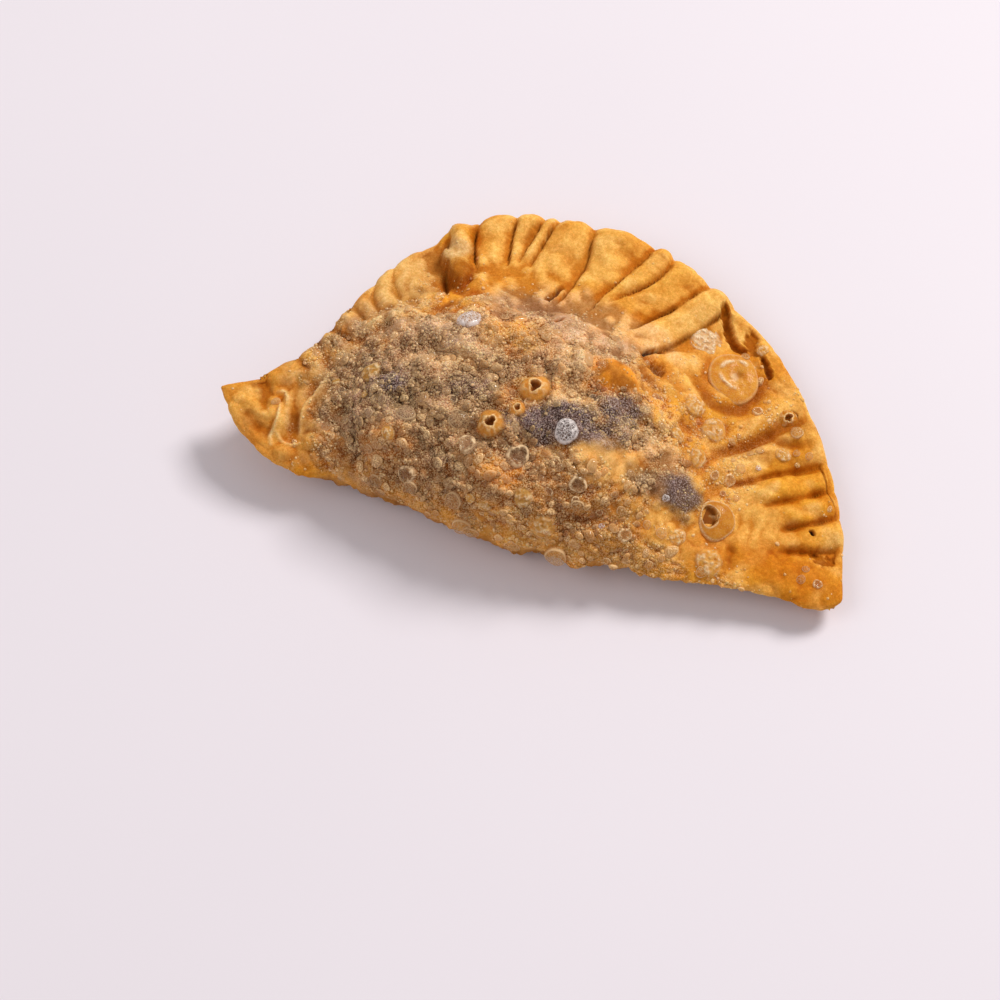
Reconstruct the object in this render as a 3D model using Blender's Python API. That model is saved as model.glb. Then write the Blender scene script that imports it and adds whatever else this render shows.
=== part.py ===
"""A fried half-moon pastelito: one disc of dough folded over its filling, crimped along the arc.

It lies on the flat of its filled belly, seam side clear of the table. X runs from one corner to
the other along the fold, Y from the fold to the crimped arc, and Z up. Lengths are in metres.
The surface is a fan of closed cross-sections from the fold to the arc. Pleats, crimps, mounds and
frying blisters are raised along its normals, and a Decimate modifier spends the triangles on them.
"""

import bpy
import numpy as np

MM = 0.001

# Driving dimensions
TRIANGLES = 11600
COLUMNS, TOP_ROWS, UNDER_ROWS = 330, 84, 44
HALF_LENGTH = 76.9 * MM  # from the middle to either corner
ROW_CROWDING = 0.86  # how closely the rows gather at the fold and at the lip
DOUGH_HALF = 1.9 * MM  # half of the two pressed layers at the rim
LIP_RADIUS = 1.8 * MM
SEAM_HEIGHT = 8.5 * MM  # of the middle of the rim above the table
BELLY_TOP, BELLY_UNDER = 11.5 * MM, 14.0 * MM  # how far the filling swells over and under the seam
BELLY_LIFT = 3.0 * MM  # the seam rides up by this over the filling
BELLY_CENTRE, BELLY_REACH = np.array([-10.0, -18.0]) * MM, np.array([52.0, 41.0]) * MM
BELLY_SQUARENESS = 2.5  # 2 is an ellipse in plan
FOLD_ROUND, FOLD_FULLNESS = 22.0 * MM, 1.25  # how far the filled fold takes to reach full height
FOLD_HALF = 2.2 * MM  # what the turned dough of the fold adds to its half thickness
LEFT_TIP_LIFT, RIGHT_TIP_DROOP = 5.0 * MM, 2.5 * MM
TIP_REACH = 34.0 * MM  # the corners bend over this length
RIM_SWAY = 1.5 * MM  # slow rise and fall of the rim
LEVEL_WITHIN = 0.03 * MM  # points this close to the table lie on it
SEED = 7

# Outline in plan, from the left corner to the right corner, in millimetres
FOLD = [(-76.9, -31.0), (-69.5, -38.6), (-61.0, -43.6), (-54.0, -44.2), (-42.0, -42.0), (-24.0, -43.0),
        (0.0, -44.6), (16.0, -42.4), (33.0, -39.6), (52.0, -35.8), (68.0, -33.4), (75.0, -32.0),
        (76.9, -29.0)]
ARC = [(-76.9, -31.0), (-66.5, -22.0), (-58.8, -9.6), (-54.6, 5.4), (-49.6, 18.0), (-42.5, 29.0),
       (-30.5, 38.8), (-12.0, 42.2), (4.5, 42.4), (22.0, 37.2), (38.0, 30.4), (50.0, 21.0),
       (62.5, 4.8), (70.6, -9.5), (75.2, -21.5), (76.9, -29.0)]

# The creases that close the rim, in three groups. Each crease: where it meets the arc, in
# millimetres from the left corner, its length inwards, how far it leans to the left for each
# millimetre inwards, and how far its middle bows to the right.
PINCHES = [(9, 6, 0, 0), (17, 7, 0, 0), (23, 6, 0, 0), (31, 8, 0, 0), (37, 7, 0, 0), (45, 9, 0.1, 0),
           (53, 8, 0.1, 0), (61, 9, 0.2, 0)]
PLEATS = [(70.3, 17, 0.50, 0), (79.1, 17, 0.61, 0), (88.4, 17, 0.39, 1.4), (96.0, 16, 0.40, 0.9),
          (99.6, 17, 0.30, 0), (108.0, 28, 0.17, 2.8), (124.5, 28, 0.42, 2.3), (129.5, 21, 0.35, 3.6),
          (141.2, 27, 0.28, 0.5), (148.4, 29, 0.24, 1.0)]
FORK_MARKS = [(183.1, 29, -0.24, 0), (195.7, 28, -0.08, 0), (202.2, 19, -0.17, 0), (209.4, 16, -0.19, 0),
              (217.6, 16, -0.06, 0)]
# Each group with the height of its ridges, and 1 for a ridge that is highest midway
CRIMPS = [(PINCHES, 1.1 * MM, 1.0), (PLEATS, 2.6 * MM, 0.75), (FORK_MARKS, 1.9 * MM, 1.0)]
VALLEY = 0.55  # depth of a crease as a share of its ridges' height
FOLDED_LAYER = dict(first=70.3, last=151, length=30, height=2.2, lean=0.3)  # the rim turned back on itself

# Mounds: x, y, length, width in millimetres, turn in degrees, height in millimetres
MOUNDS = {
    "curled_end": (-38.5, 23.5, 22, 9.5, -71, 4.6),
    "flap_ridge": (-60.9, -33.2, 17, 4.8, 87, 2.4),
    "dark_filling_ridge": (6.0, -17.0, 34, 15, 14, 1.4),
    "amber_lump": (11.0, -1.5, 15, 10, 12, 1.8),
    "smooth_shoulder": (16.5, -22.0, 24, 14, 8, 1.2),
    "left_filling_lump": (-34.0, -32.0, 24, 15, -12, 2.0),
    "back_filling_lump": (-18.0, -3.0, 30, 15, 18, 1.8),
    "right_filling_lump": (33.0, -19.0, 15, 12, 30, 2.2),
    "front_filling_lump": (-8.0, -34.0, 26, 12, 4, 1.6),
}

# The largest frying blisters: x, y and diameter in millimetres
BLISTERS = {
    "flaky_white": (26.0, 23.6, 8.0),
    "broad_disc": (35.8, 13.8, 13.0),
    "half_broken": (43.2, -22.6, 10.5),
    "clear_disc": (45.5, -31.0, 8.0),
    "front_crackle": (7.4, -39.6, 7.2),
    "front_round": (0.4, -36.5, 6.2),
    "white_crackle": (5.6, -19.5, 5.8),
    "ring": (-3.3, -28.4, 6.2),
    "orange_crater": (-10.9, -24.2, 6.8),
    "broken_orange": (-4.8, -12.4, 6.4),
    "left_broken": (-42.9, -18.8, 6.8),
    "back_white": (-26.5, 3.3, 6.0),
    "left_front": (-26.6, -38.1, 6.0),
    "left_ring": (-14.6, -29.9, 5.8),
    "small_ring": (11.3, -27.7, 4.8),
    "big_bubble": (-34.3, -34.7, 9.4),
    "right_cluster": (35.0, -9.2, 5.4),
    "edge_crater": (51.0, 11.1, 5.4),
}
BLISTER_RISE = 0.28  # height over diameter
BROADEST = 8.0 * MM  # wider blisters rise no higher than one of this diameter
SMALL_BLISTERS = 80
SMALL_DIAMETER = (2.2 * MM, 4.4 * MM)


def step(low, high, value):
    """0 below low, 1 above high, and an S-shaped rise between them."""
    t = np.clip((value - low) / (high - low), 0, 1)
    return t * t * (3 - 2 * t)


def smooth_curve(points, count):
    """Points evenly spaced along a cubic curve that passes through the given millimetre points."""
    knots = np.array(points) * MM
    at = np.concatenate([[0], np.cumsum(np.linalg.norm(np.diff(knots, axis=0), axis=1))])
    slope = np.gradient(knots, at, axis=0)
    t = np.linspace(0, at[-1], 4 * count)
    i = np.clip(np.searchsorted(at, t, side="right") - 1, 0, len(at) - 2)
    gap = (at[i + 1] - at[i])[:, None]
    u = ((t - at[i]) / gap[:, 0])[:, None]
    curve = ((1 + 2 * u) * (1 - u) ** 2 * knots[i] + u * (1 - u) ** 2 * gap * slope[i]
             + u * u * (3 - 2 * u) * knots[i + 1] + u * u * (u - 1) * gap * slope[i + 1])
    return resample(curve, count)


def resample(curve, count):
    """The curve again, as count points at equal distances along it."""
    run = np.concatenate([[0], np.cumsum(np.linalg.norm(np.diff(curve, axis=0), axis=1))])
    even = np.linspace(0, run[-1], count)
    return np.stack([np.interp(even, run, curve[:, k]) for k in range(curve.shape[1])], axis=1)


def nearest(places, curve):
    """For each place in plan, its distance to the curve and how far along the curve that lies."""
    run = np.concatenate([[0], np.cumsum(np.linalg.norm(np.diff(curve, axis=0), axis=1))])
    flat = places.reshape(-1, 2)
    found = [np.linalg.norm(block[:, None] - curve[None], axis=2) for block in np.array_split(flat, 60)]
    gaps = np.concatenate([block.min(axis=1) for block in found])
    index = np.concatenate([block.argmin(axis=1) for block in found])
    return gaps.reshape(places.shape[:-1]), run[index].reshape(places.shape[:-1])


def noise(places, size, seed, waves=28):
    """Smooth noise from -1 to 1: cosine waves of about one length, in directions drawn by the seed."""
    draw = np.random.default_rng(seed)
    direction = draw.normal(size=(waves, 3))
    direction /= np.linalg.norm(direction, axis=1)[:, None]
    length = size * draw.uniform(0.7, 1.4, waves)
    phase = draw.uniform(0, 2 * np.pi, waves)
    total = sum(np.cos(places @ d * (2 * np.pi / w) + p) for d, w, p in zip(direction, length, phase))
    return total / np.sqrt(waves)


def inner_fade(length, inward):
    """1 along a crease of the given length, fading out at the lip and at its inner end."""
    return step(0, 2 * MM, inward) * (1 - step(0.72 * length, length, inward))


def crease_line(crease, inward):
    """How far along the arc a crease runs at each distance inwards: a leaning line with a bow in it."""
    share = np.clip(inward / (crease[1] * MM), 0, 1)
    return crease[0] * MM - crease[2] * inward + 4 * crease[3] * MM * share * (1 - share)


def ridge_between(near, far, height, skew, along, inward):
    """A sine ridge between two creases, with a valley along both of them."""
    start, end = crease_line(near, inward), crease_line(far, inward)
    share = (along - start) / np.maximum(end - start, 2 * MM)
    held = np.clip(share, 0, 1)
    ridge = np.abs(np.sin(np.pi * held ** skew)) ** 0.7
    length = (near[1] + (far[1] - near[1]) * held) * MM
    return height * (ridge - VALLEY) * inner_fade(length, inward) * ((share >= 0) & (share < 1))


def outer_slope(crease, height, way, along, inward):
    """The slope that leads down into a group's first or last crease from outside the group."""
    outside = way * (along - crease_line(crease, inward))
    slope = (1 - step(0, 3 * MM, outside)) * (outside > 0)
    return -VALLEY * height * slope * inner_fade(crease[1] * MM, inward)


def crimp_relief(along, inward):
    """Height of every ridge over the rim, with the folded-back layer under the pleats."""
    total = np.zeros_like(along)
    for creases, height, skew in CRIMPS:
        for near, far in zip(creases, creases[1:]):
            total += ridge_between(near, far, height, skew, along, inward)
        total += outer_slope(creases[0], height, -1, along, inward)
        total += outer_slope(creases[-1], height, 1, along, inward)
    layer = FOLDED_LAYER
    slanted = along + layer["lean"] * inward
    across = step(layer["first"] * MM - 1.5 * MM, layer["first"] * MM + 1.5 * MM, slanted)
    across *= 1 - step(layer["last"] * MM - 2 * MM, layer["last"] * MM + 3 * MM, slanted)
    deep = 1 - step(0.4 * layer["length"] * MM, layer["length"] * MM, inward)
    return total + layer["height"] * MM * across * deep * step(0, 3 * MM, inward)


def mound_relief(places):
    """Height of the mounds: half-ellipsoids that meet the surface softly."""
    total = np.zeros(places.shape[:-1])
    for x, y, length, width, turn, height in MOUNDS.values():
        angle = np.radians(turn)
        offset = places[..., :2] - np.array([x, y]) * MM
        main = (offset @ [np.cos(angle), np.sin(angle)]) / (length * MM / 2)
        side = (offset @ [-np.sin(angle), np.cos(angle)]) / (width * MM / 2)
        total += height * MM * np.clip(1 - main ** 2 - side ** 2, 0, 1) ** 1.2
    return total


def belly(places):
    """1 over the middle of the filling, falling to 0 at its edge."""
    offset = np.abs((places[..., :2] - BELLY_CENTRE) / BELLY_REACH) ** BELLY_SQUARENESS
    return 1 - step(0.34, 1.1, offset.sum(axis=-1) ** (1 / BELLY_SQUARENESS))


def rounding(distance, radius):
    """0 at an edge, rising as a quarter circle to 1 at the given radius."""
    return np.sqrt(np.clip(1 - np.clip(1 - distance / radius, 0, 1) ** 2, 0, 1))


def seam_height(places):
    """Height of the surface midway through the dough, with its lifted and drooping corners."""
    x, y = places[..., 0], places[..., 1]
    left = 1 - step(-HALF_LENGTH, TIP_REACH - HALF_LENGTH, x)
    right = step(HALF_LENGTH - TIP_REACH, HALF_LENGTH, x)
    sway = RIM_SWAY * np.sin(x / (13.0 * MM) + 1.2) * step(-10 * MM, 25 * MM, y)
    return SEAM_HEIGHT + BELLY_LIFT * belly(places) + LEFT_TIP_LIFT * left - RIGHT_TIP_DROOP * right + sway


def base_surface(fold, arc):
    """Closed cross-sections from the fold over the top to the lip and back under, one per column."""
    top = np.linspace(0, 1, TOP_ROWS + 1)
    under = np.linspace(1, 0, UNDER_ROWS + 1)[1:-1]
    even = np.concatenate([top, under])
    across = even - ROW_CROWDING * np.sin(2 * np.pi * even) / (2 * np.pi)
    side = np.concatenate([np.ones(len(top)), -np.ones(len(under))])
    plan = fold[:, None] + (arc - fold)[:, None] * across[None, :, None]
    to_fold, _ = nearest(plan, resample(fold, 500))
    to_arc, along = nearest(plan, resample(arc, 700))
    to_fold[:, 0], to_arc[:, TOP_ROWS] = 0, 0
    pressed = (DOUGH_HALF + FOLD_HALF * belly(plan)) * rounding(to_fold, LIP_RADIUS + FOLD_HALF)
    pressed *= rounding(to_arc, LIP_RADIUS)
    swell = np.where(side > 0, BELLY_TOP, BELLY_UNDER) * belly(plan)
    swell *= rounding(to_fold, FOLD_ROUND) ** FOLD_FULLNESS
    height = seam_height(plan) + side * (pressed + swell)
    return np.dstack([plan, height]), side, along, to_arc


def normals_of(grid):
    """Unit normals of a grid whose rows close on themselves, from its differences both ways."""
    along = np.gradient(grid, axis=0)
    around = np.roll(grid, -1, axis=1) - np.roll(grid, 1, axis=1)
    normal = np.cross(along, around)
    return normal / (np.linalg.norm(normal, axis=2)[..., None] + 1e-12)


def blister_places(grid, side):
    """Centre and radius of each blister: the named ones, then small ones drawn over the filling."""
    top = grid[:, side > 0].reshape(-1, 3)
    named = np.array(list(BLISTERS.values())) * MM
    centres = [top[np.linalg.norm(top[:, :2] - spot[:2], axis=1).argmin()] for spot in named]
    radii = list(named[:, 2] / 2)
    draw = np.random.default_rng(SEED)
    wanted = 0.12 + belly(top)
    picks = top[draw.choice(len(top), 12 * SMALL_BLISTERS, p=wanted / wanted.sum())]
    sizes = draw.uniform(*SMALL_DIAMETER, len(picks)) / 2
    for centre, radius in zip(picks, sizes):
        clear = np.linalg.norm(np.array(centres) - centre, axis=1) > 0.9 * (np.array(radii) + radius)
        if clear.all() and len(centres) < len(BLISTERS) + SMALL_BLISTERS:
            centres.append(centre)
            radii.append(radius)
    return np.array(centres), np.array(radii)


def blister_relief(grid, centres, radii):
    """Height of the domes, from each point's distance to every blister's centre."""
    total = np.zeros(grid.shape[:-1])
    for centre, radius in zip(centres, radii):
        share = np.linalg.norm(grid - centre, axis=2) / radius
        rise = BLISTER_RISE * min(2 * radius, BROADEST)
        total = np.maximum(total, rise * np.sqrt(np.clip(1 - share ** 2, 0, 1)))
    return total


def pastelito_surface():
    """The grid of the whole surface, one closed cross-section per column."""
    fold, arc = smooth_curve(FOLD, COLUMNS + 2)[1:-1], smooth_curve(ARC, COLUMNS + 2)[1:-1]
    grid, side, along, inward = base_surface(fold, arc)
    up = np.where(side > 0, 1.0, 0.25)
    relief = crimp_relief(along, inward) * up + mound_relief(grid) * (side > 0)
    softly = rounding(inward, 2.5 * MM)
    lumps = 0.8 * MM * noise(grid, 15 * MM, SEED) + 0.45 * MM * noise(grid, 6.5 * MM, SEED + 1)
    relief += lumps * (0.45 + 0.55 * belly(grid)) * softly
    relief += blister_relief(grid, *blister_places(grid, side)) * softly * (side > 0)
    grid = grid + normals_of(grid) * relief[..., None]
    grid[..., 2] = np.maximum(grid[..., 2], 0)
    return grid


def closed_mesh(name, grid, first_pole, last_pole):
    """A mesh over the grid, with each end drawn together in one point."""
    columns, rows = grid.shape[:2]
    index = np.arange(columns * rows).reshape(columns, rows)
    here, beside = index[:-1], np.roll(index, -1, axis=1)[:-1]
    ahead, across = index[1:], np.roll(index, -1, axis=1)[1:]
    quads = np.stack([here, ahead, across, beside], axis=-1).reshape(-1, 4).tolist()
    left, right = columns * rows, columns * rows + 1
    fans = [(left, index[0, r], index[0, (r + 1) % rows]) for r in range(rows)]
    fans += [(right, index[-1, (r + 1) % rows], index[-1, r]) for r in range(rows)]
    points = np.vstack([grid.reshape(-1, 3), [first_pole, last_pole]])
    mesh = bpy.data.meshes.new(name)
    mesh.from_pydata(points.tolist(), [], quads + fans)
    mesh.validate()
    mesh.shade_smooth()
    return mesh


def crust_material():
    """Golden fried dough with a light sheen of oil."""
    material = bpy.data.materials.new("fried_dough")
    material.use_nodes = True
    shader = material.node_tree.nodes["Principled BSDF"]
    shader.inputs["Base Color"].default_value = (0.62, 0.29, 0.07, 1)
    shader.inputs["Roughness"].default_value = 0.42
    shader.inputs["Metallic"].default_value = 0
    return material


def thin_out(crust, share):
    """Collapse the mesh to a share of its triangles, and press its resting face level with z = 0."""
    collapse = crust.modifiers.new("even detail", "DECIMATE")
    collapse.use_collapse_triangulate = True
    collapse.ratio = share
    thinned = bpy.data.meshes.new_from_object(crust.evaluated_get(bpy.context.evaluated_depsgraph_get()))
    crust.modifiers.clear()
    for vertex in thinned.vertices:
        if vertex.co.z < LEVEL_WITHIN:
            vertex.co.z = 0
    crust.data = thinned


def pastelito():
    """The whole pastelito, one solid, centred over the origin and resting on z = 0."""
    grid = pastelito_surface()
    low, high = grid.reshape(-1, 3).min(axis=0), grid.reshape(-1, 3).max(axis=0)
    grid[..., :2] -= (low[:2] + high[:2]) / 2
    poles = grid[0].mean(axis=0), grid[-1].mean(axis=0)
    crust = bpy.data.objects.new("pastelito", closed_mesh("pastelito", grid, *poles))
    crust.data.materials.append(crust_material())
    bpy.context.scene.collection.objects.link(crust)
    thin_out(crust, TRIANGLES / (2 * grid.shape[0] * grid.shape[1]))
    return crust


for leftover in list(bpy.data.objects):
    bpy.data.objects.remove(leftover)
pastelito()
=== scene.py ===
# %% [markdown]
# # A fried half-moon pastelito
# A pastelito is one disc of dough folded over a filling, crimped along its arc and fried until it
# is golden. Frying leaves the most striking thing about it: hundreds of oily blisters. This lesson
# dresses a plain solid of known size with that crust. Every new piece is a surface worked out with
# numpy and handed to Blender in one go, because whole arrays are quick and leave nothing to chance.

import bpy
import numpy as np
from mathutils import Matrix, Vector


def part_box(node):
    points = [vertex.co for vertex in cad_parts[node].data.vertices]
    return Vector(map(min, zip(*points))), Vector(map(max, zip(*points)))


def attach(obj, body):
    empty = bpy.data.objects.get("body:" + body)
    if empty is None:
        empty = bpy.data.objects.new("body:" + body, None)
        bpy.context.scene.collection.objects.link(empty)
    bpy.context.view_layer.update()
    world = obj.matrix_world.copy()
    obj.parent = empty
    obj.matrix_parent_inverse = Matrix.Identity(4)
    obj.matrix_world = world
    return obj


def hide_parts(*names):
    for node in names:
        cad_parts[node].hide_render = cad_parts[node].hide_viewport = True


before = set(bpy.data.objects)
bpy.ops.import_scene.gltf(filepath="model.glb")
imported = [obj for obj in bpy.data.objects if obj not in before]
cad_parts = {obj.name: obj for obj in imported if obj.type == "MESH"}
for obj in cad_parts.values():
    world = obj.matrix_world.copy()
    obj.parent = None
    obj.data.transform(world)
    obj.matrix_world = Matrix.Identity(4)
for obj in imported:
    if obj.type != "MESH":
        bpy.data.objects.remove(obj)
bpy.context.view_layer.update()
MM = 0.001
low, high = np.array(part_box("pastelito"))
print("plain solid, mm:", np.round((high - low) / MM, 1))

# %% [markdown]
# ## Small tools
# Three helpers carry most of the modelling. `step` blends from 0 to 1 without a kink. `nearest`
# says how far each point lies from a curve and how far along it. `noise` adds cosine waves in many
# directions, which is smooth, repeats exactly on each run, and needs no texture.

# %% Blending and curves


def step(start, end, value):
    """0 before start and 1 after end, with an S-shaped rise between them."""
    t = np.clip((value - start) / (end - start), 0, 1)
    return t * t * (3 - 2 * t)


def resample(curve, count):
    """The curve again, as count points at equal distances along it."""
    run = np.concatenate([[0], np.cumsum(np.linalg.norm(np.diff(curve, axis=0), axis=1))])
    even = np.linspace(0, run[-1], count)
    return np.stack([np.interp(even, run, curve[:, k]) for k in range(curve.shape[1])], axis=1)


def smooth_curve(points, count):
    """Evenly spaced points on the cubic curve that passes through points given in millimetres."""
    knots = np.array(points) * MM
    at = np.concatenate([[0], np.cumsum(np.linalg.norm(np.diff(knots, axis=0), axis=1))])
    slope = np.gradient(knots, at, axis=0)
    t = np.linspace(0, at[-1], 4 * count)
    i = np.clip(np.searchsorted(at, t, side="right") - 1, 0, len(at) - 2)
    gap = (at[i + 1] - at[i])[:, None]
    u = ((t - at[i]) / gap[:, 0])[:, None]
    curve = ((1 + 2 * u) * (1 - u) ** 2 * knots[i] + u * (1 - u) ** 2 * gap * slope[i]
             + u * u * (3 - 2 * u) * knots[i + 1] + u * u * (u - 1) * gap * slope[i + 1])
    return resample(curve, count)


def nearest(places, curve):
    """For each place in plan, its distance to the curve and how far along the curve that lies."""
    run = np.concatenate([[0], np.cumsum(np.linalg.norm(np.diff(curve, axis=0), axis=1))])
    flat = places.reshape(-1, 2)
    closest = np.concatenate([np.linalg.norm(block[:, None] - curve[None], axis=2).argmin(axis=1)
                              for block in np.array_split(flat, 200)])
    gap, at = np.full(len(flat), np.inf), np.zeros(len(flat))
    for start in (closest - 1, closest):
        start = np.clip(start, 0, len(curve) - 2)
        edge = curve[start + 1] - curve[start]
        share = np.clip(((flat - curve[start]) * edge).sum(axis=1) / (edge ** 2).sum(axis=1), 0, 1)
        away = np.linalg.norm(flat - curve[start] - share[:, None] * edge, axis=1)
        at = np.where(away < gap, run[start] + share * (run[start + 1] - run[start]), at)
        gap = np.minimum(gap, away)
    return gap.reshape(places.shape[:-1]), at.reshape(places.shape[:-1])


def noise(places, size, seed, waves=28):
    """Smooth noise of about -1 to 1: cosine waves of about one length, in seeded directions."""
    draw = np.random.default_rng(seed)
    direction = draw.normal(size=(waves, 3))
    direction /= np.linalg.norm(direction, axis=1)[:, None]
    length = size * draw.uniform(0.7, 1.4, waves)
    phase = draw.uniform(0, 2 * np.pi, waves)
    total = sum(np.cos(places @ d * (2 * np.pi / w) + p) for d, w, p in zip(direction, length, phase))
    return total / np.sqrt(waves)


def rounding(distance, radius):
    """0 at an edge, rising as a quarter circle to 1 at the given radius."""
    return np.sqrt(np.clip(1 - np.clip(1 - distance / radius, 0, 1) ** 2, 0, 1))


print("step a quarter of the way:", step(0, 1, 0.25))

# %% [markdown]
# ## The outline
# Seen from above, the fold is nearly straight and the crimped arc is a lopsided half-circle. Both
# are smooth curves through a few points. The left corner bends up, and the right one is pressed
# flat. The fold and the arc meet at both corners.

# %% Fold and arc
COLUMNS, TOP_ROWS, UNDER_ROWS = 430, 202, 28
HALF_LENGTH = 76.9 * MM
FOLD = [(-76.9, -31.0), (-69.5, -38.6), (-61.0, -43.6), (-54.0, -44.2), (-42.0, -42.0), (-24.0, -43.0),
        (0.0, -44.6), (16.0, -42.4), (33.0, -39.6), (52.0, -35.8), (68.0, -33.4), (75.0, -32.0),
        (76.9, -29.0)]
ARC = [(-76.9, -31.0), (-66.5, -22.0), (-58.8, -9.6), (-54.6, 5.4), (-49.6, 18.0), (-42.5, 29.0),
       (-30.5, 38.8), (-12.0, 42.2), (4.5, 42.4), (22.0, 37.2), (38.0, 30.4), (50.0, 21.0),
       (62.5, 4.8), (70.6, -9.5), (75.2, -21.5), (76.9, -29.0)]
fold = smooth_curve(FOLD, COLUMNS + 2)[1:-1]
arc = smooth_curve(ARC, COLUMNS + 2)[1:-1]
arc_run = np.concatenate([[0], np.cumsum(np.linalg.norm(np.diff(arc, axis=0), axis=1))])
print("arc length, mm:", round(arc_run[-1] / MM, 1))

# %% [markdown]
# The rim was closed in three ways: small pinches at the left, wide folded pleats over the top and
# the marks of a fork at the right. All of them are creases that run inwards from the lip. Between two
# creases the lip bulges a little, so the outline is a row of shallow lobes.

# %% Creases and lobes
# Each crease: millimetres along the arc, its length inwards, how far it leans to the left for each
# millimetre inwards, and how far its middle bows to the right.
PINCHES = [(10.2, 8, 0, 0), (19.4, 6, 0, 0), (25.2, 7, 0.35, 0), (30.0, 7, 0, 0), (38, 7, 0.4, 0),
           (46.8, 9, 1.1, 0), (53.6, 11, 0.88, 0), (62, 9, 0.3, 0)]
PLEATS = [(71.5, 19, 0.90, 0), (79.1, 17, 0.61, 0), (88.4, 17, 0.39, 1.4), (96.0, 16, 0.40, 0.9),
          (99.6, 17, 0.30, 0), (108.0, 28, 0.17, 2.8), (124.5, 28, 0.42, 2.3), (129.5, 21, 0.35, 3.6),
          (141.2, 27, 0.28, 0.5), (148.4, 29, 0.24, 1.0)]
FORK_MARKS = [(183.1, 29, -0.24, 0), (195.7, 28, -0.08, 0), (202.2, 19, -0.17, 0), (209.4, 16, -0.19, 0),
              (217.6, 16, -0.06, 0)]
LOBES = [(PINCHES, 1.1 * MM), (PLEATS, 0.9 * MM), (FORK_MARKS, 0.5 * MM)]
LIP_INSET, CORNER_REACH = 0.5 * MM, 6 * MM
bulge = np.zeros(len(arc))
for creases, height in LOBES:
    for near, far in zip(creases, creases[1:]):
        share = np.clip((arc_run / MM - near[0]) / (far[0] - near[0]), 0, 1)
        bulge += height * np.sqrt(np.sin(np.pi * share) + 1e-9)
tangent = np.gradient(arc, axis=0)
outwards = np.stack([-tangent[:, 1], tangent[:, 0]], axis=1) / np.linalg.norm(tangent, axis=1)[:, None]
off_corners = step(0, CORNER_REACH, arc_run * (1 - arc_run / arc_run[-1]))
lip = arc + outwards * (bulge - LIP_INSET)[:, None] * off_corners[:, None]
print("lobes, mm:", round(bulge.max() / MM, 2))

# %% [markdown]
# ## The filled body
# The body could be carved from a ball, but a pastelito is two layers of dough that meet at a rim.
# So each column of the grid is a closed cross-section: from the fold over the top to the lip of the
# arc, and back along the underside. Over the filling the layers swell apart, and at the rim only
# the pressed dough is left.

# %% Cross-sections
ROW_CROWDING = 0.70  # how closely the rows gather at the fold and at the lip
DOUGH_HALF, FOLD_HALF = 1.9 * MM, 2.2 * MM  # half thickness of the rim, and what the fold adds
LIP_RADIUS = 1.8 * MM
SEAM_HEIGHT, BELLY_LIFT = 8.5 * MM, 3.0 * MM
BELLY_TOP, BELLY_UNDER = 11.5 * MM, 14.0 * MM
BELLY_CENTRE, BELLY_REACH = np.array([-10.0, -18.0]) * MM, np.array([52.0, 41.0]) * MM
BELLY_SQUARENESS = 2.5
FOLD_ROUND, FOLD_FULLNESS = 22.0 * MM, 1.25
LEFT_TIP_LIFT, RIGHT_TIP_DROOP, TIP_REACH = 5.0 * MM, 2.5 * MM, 34.0 * MM
RIM_SWAY = 1.5 * MM
SEED = 7


def belly(places):
    """1 over the middle of the filling and 0 past its edge: a soft, squarish ellipse in plan."""
    offset = np.abs((places[..., :2] - BELLY_CENTRE) / BELLY_REACH) ** BELLY_SQUARENESS
    return 1 - step(0.34, 1.1, offset.sum(axis=-1) ** (1 / BELLY_SQUARENESS))


def seam_height(places):
    """Height midway through the dough: level, lifted by the filling and bent at the corners."""
    x, y = places[..., 0], places[..., 1]
    left = 1 - step(-HALF_LENGTH, TIP_REACH - HALF_LENGTH, x)
    right = step(HALF_LENGTH - TIP_REACH, HALF_LENGTH, x)
    sway = RIM_SWAY * np.sin(x / (13.0 * MM) + 1.2) * step(-10 * MM, 25 * MM, y)
    return SEAM_HEIGHT + BELLY_LIFT * belly(places) + LEFT_TIP_LIFT * left - RIGHT_TIP_DROOP * right + sway


top_share, under_share = np.linspace(0, 1, TOP_ROWS + 1), np.linspace(1, 0, UNDER_ROWS + 1)[1:-1]
even = np.concatenate([top_share, under_share])
across = even - ROW_CROWDING * np.sin(2 * np.pi * even) / (2 * np.pi)
side = np.concatenate([np.ones(TOP_ROWS + 1), -np.ones(UNDER_ROWS - 1)])
plan = fold[:, None] + (lip - fold)[:, None] * across[None, :, None]
to_fold, _ = nearest(plan, resample(fold, 260))
inward, _ = nearest(plan, resample(lip, 560))
_, along = nearest(plan, resample(arc, 360))
to_fold[:, 0], inward[:, TOP_ROWS] = 0, 0
pressed = (DOUGH_HALF + FOLD_HALF * belly(plan)) * rounding(to_fold, LIP_RADIUS + FOLD_HALF)
pressed *= rounding(inward, LIP_RADIUS)
swell = np.where(side > 0, BELLY_TOP, BELLY_UNDER) * belly(plan)
swell = swell * rounding(to_fold, FOLD_ROUND) ** FOLD_FULLNESS
crust = np.dstack([plan, seam_height(plan) + side * (pressed + swell)])
print("grid of the crust:", crust.shape[:2])

# %% [markdown]
# ## Pleats, pinches and fork marks
# Along a crease the dough dips, and between two creases it stands up in a round ridge. A plain sine
# would be too pointed, so its power below one gives each ridge a broad back and a narrow valley.

# %% Ridges between the creases
CRIMPS = [(PINCHES, 1.4 * MM, 1.0), (PLEATS, 2.0 * MM, 0.75), (FORK_MARKS, 1.9 * MM, 1.0)]
VALLEY = 0.55  # depth of a crease as a share of its ridges' height
FOLDED_LAYER = dict(first=70.3 * MM, last=151 * MM, length=30 * MM, height=2.2 * MM, lean=0.3)


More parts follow.
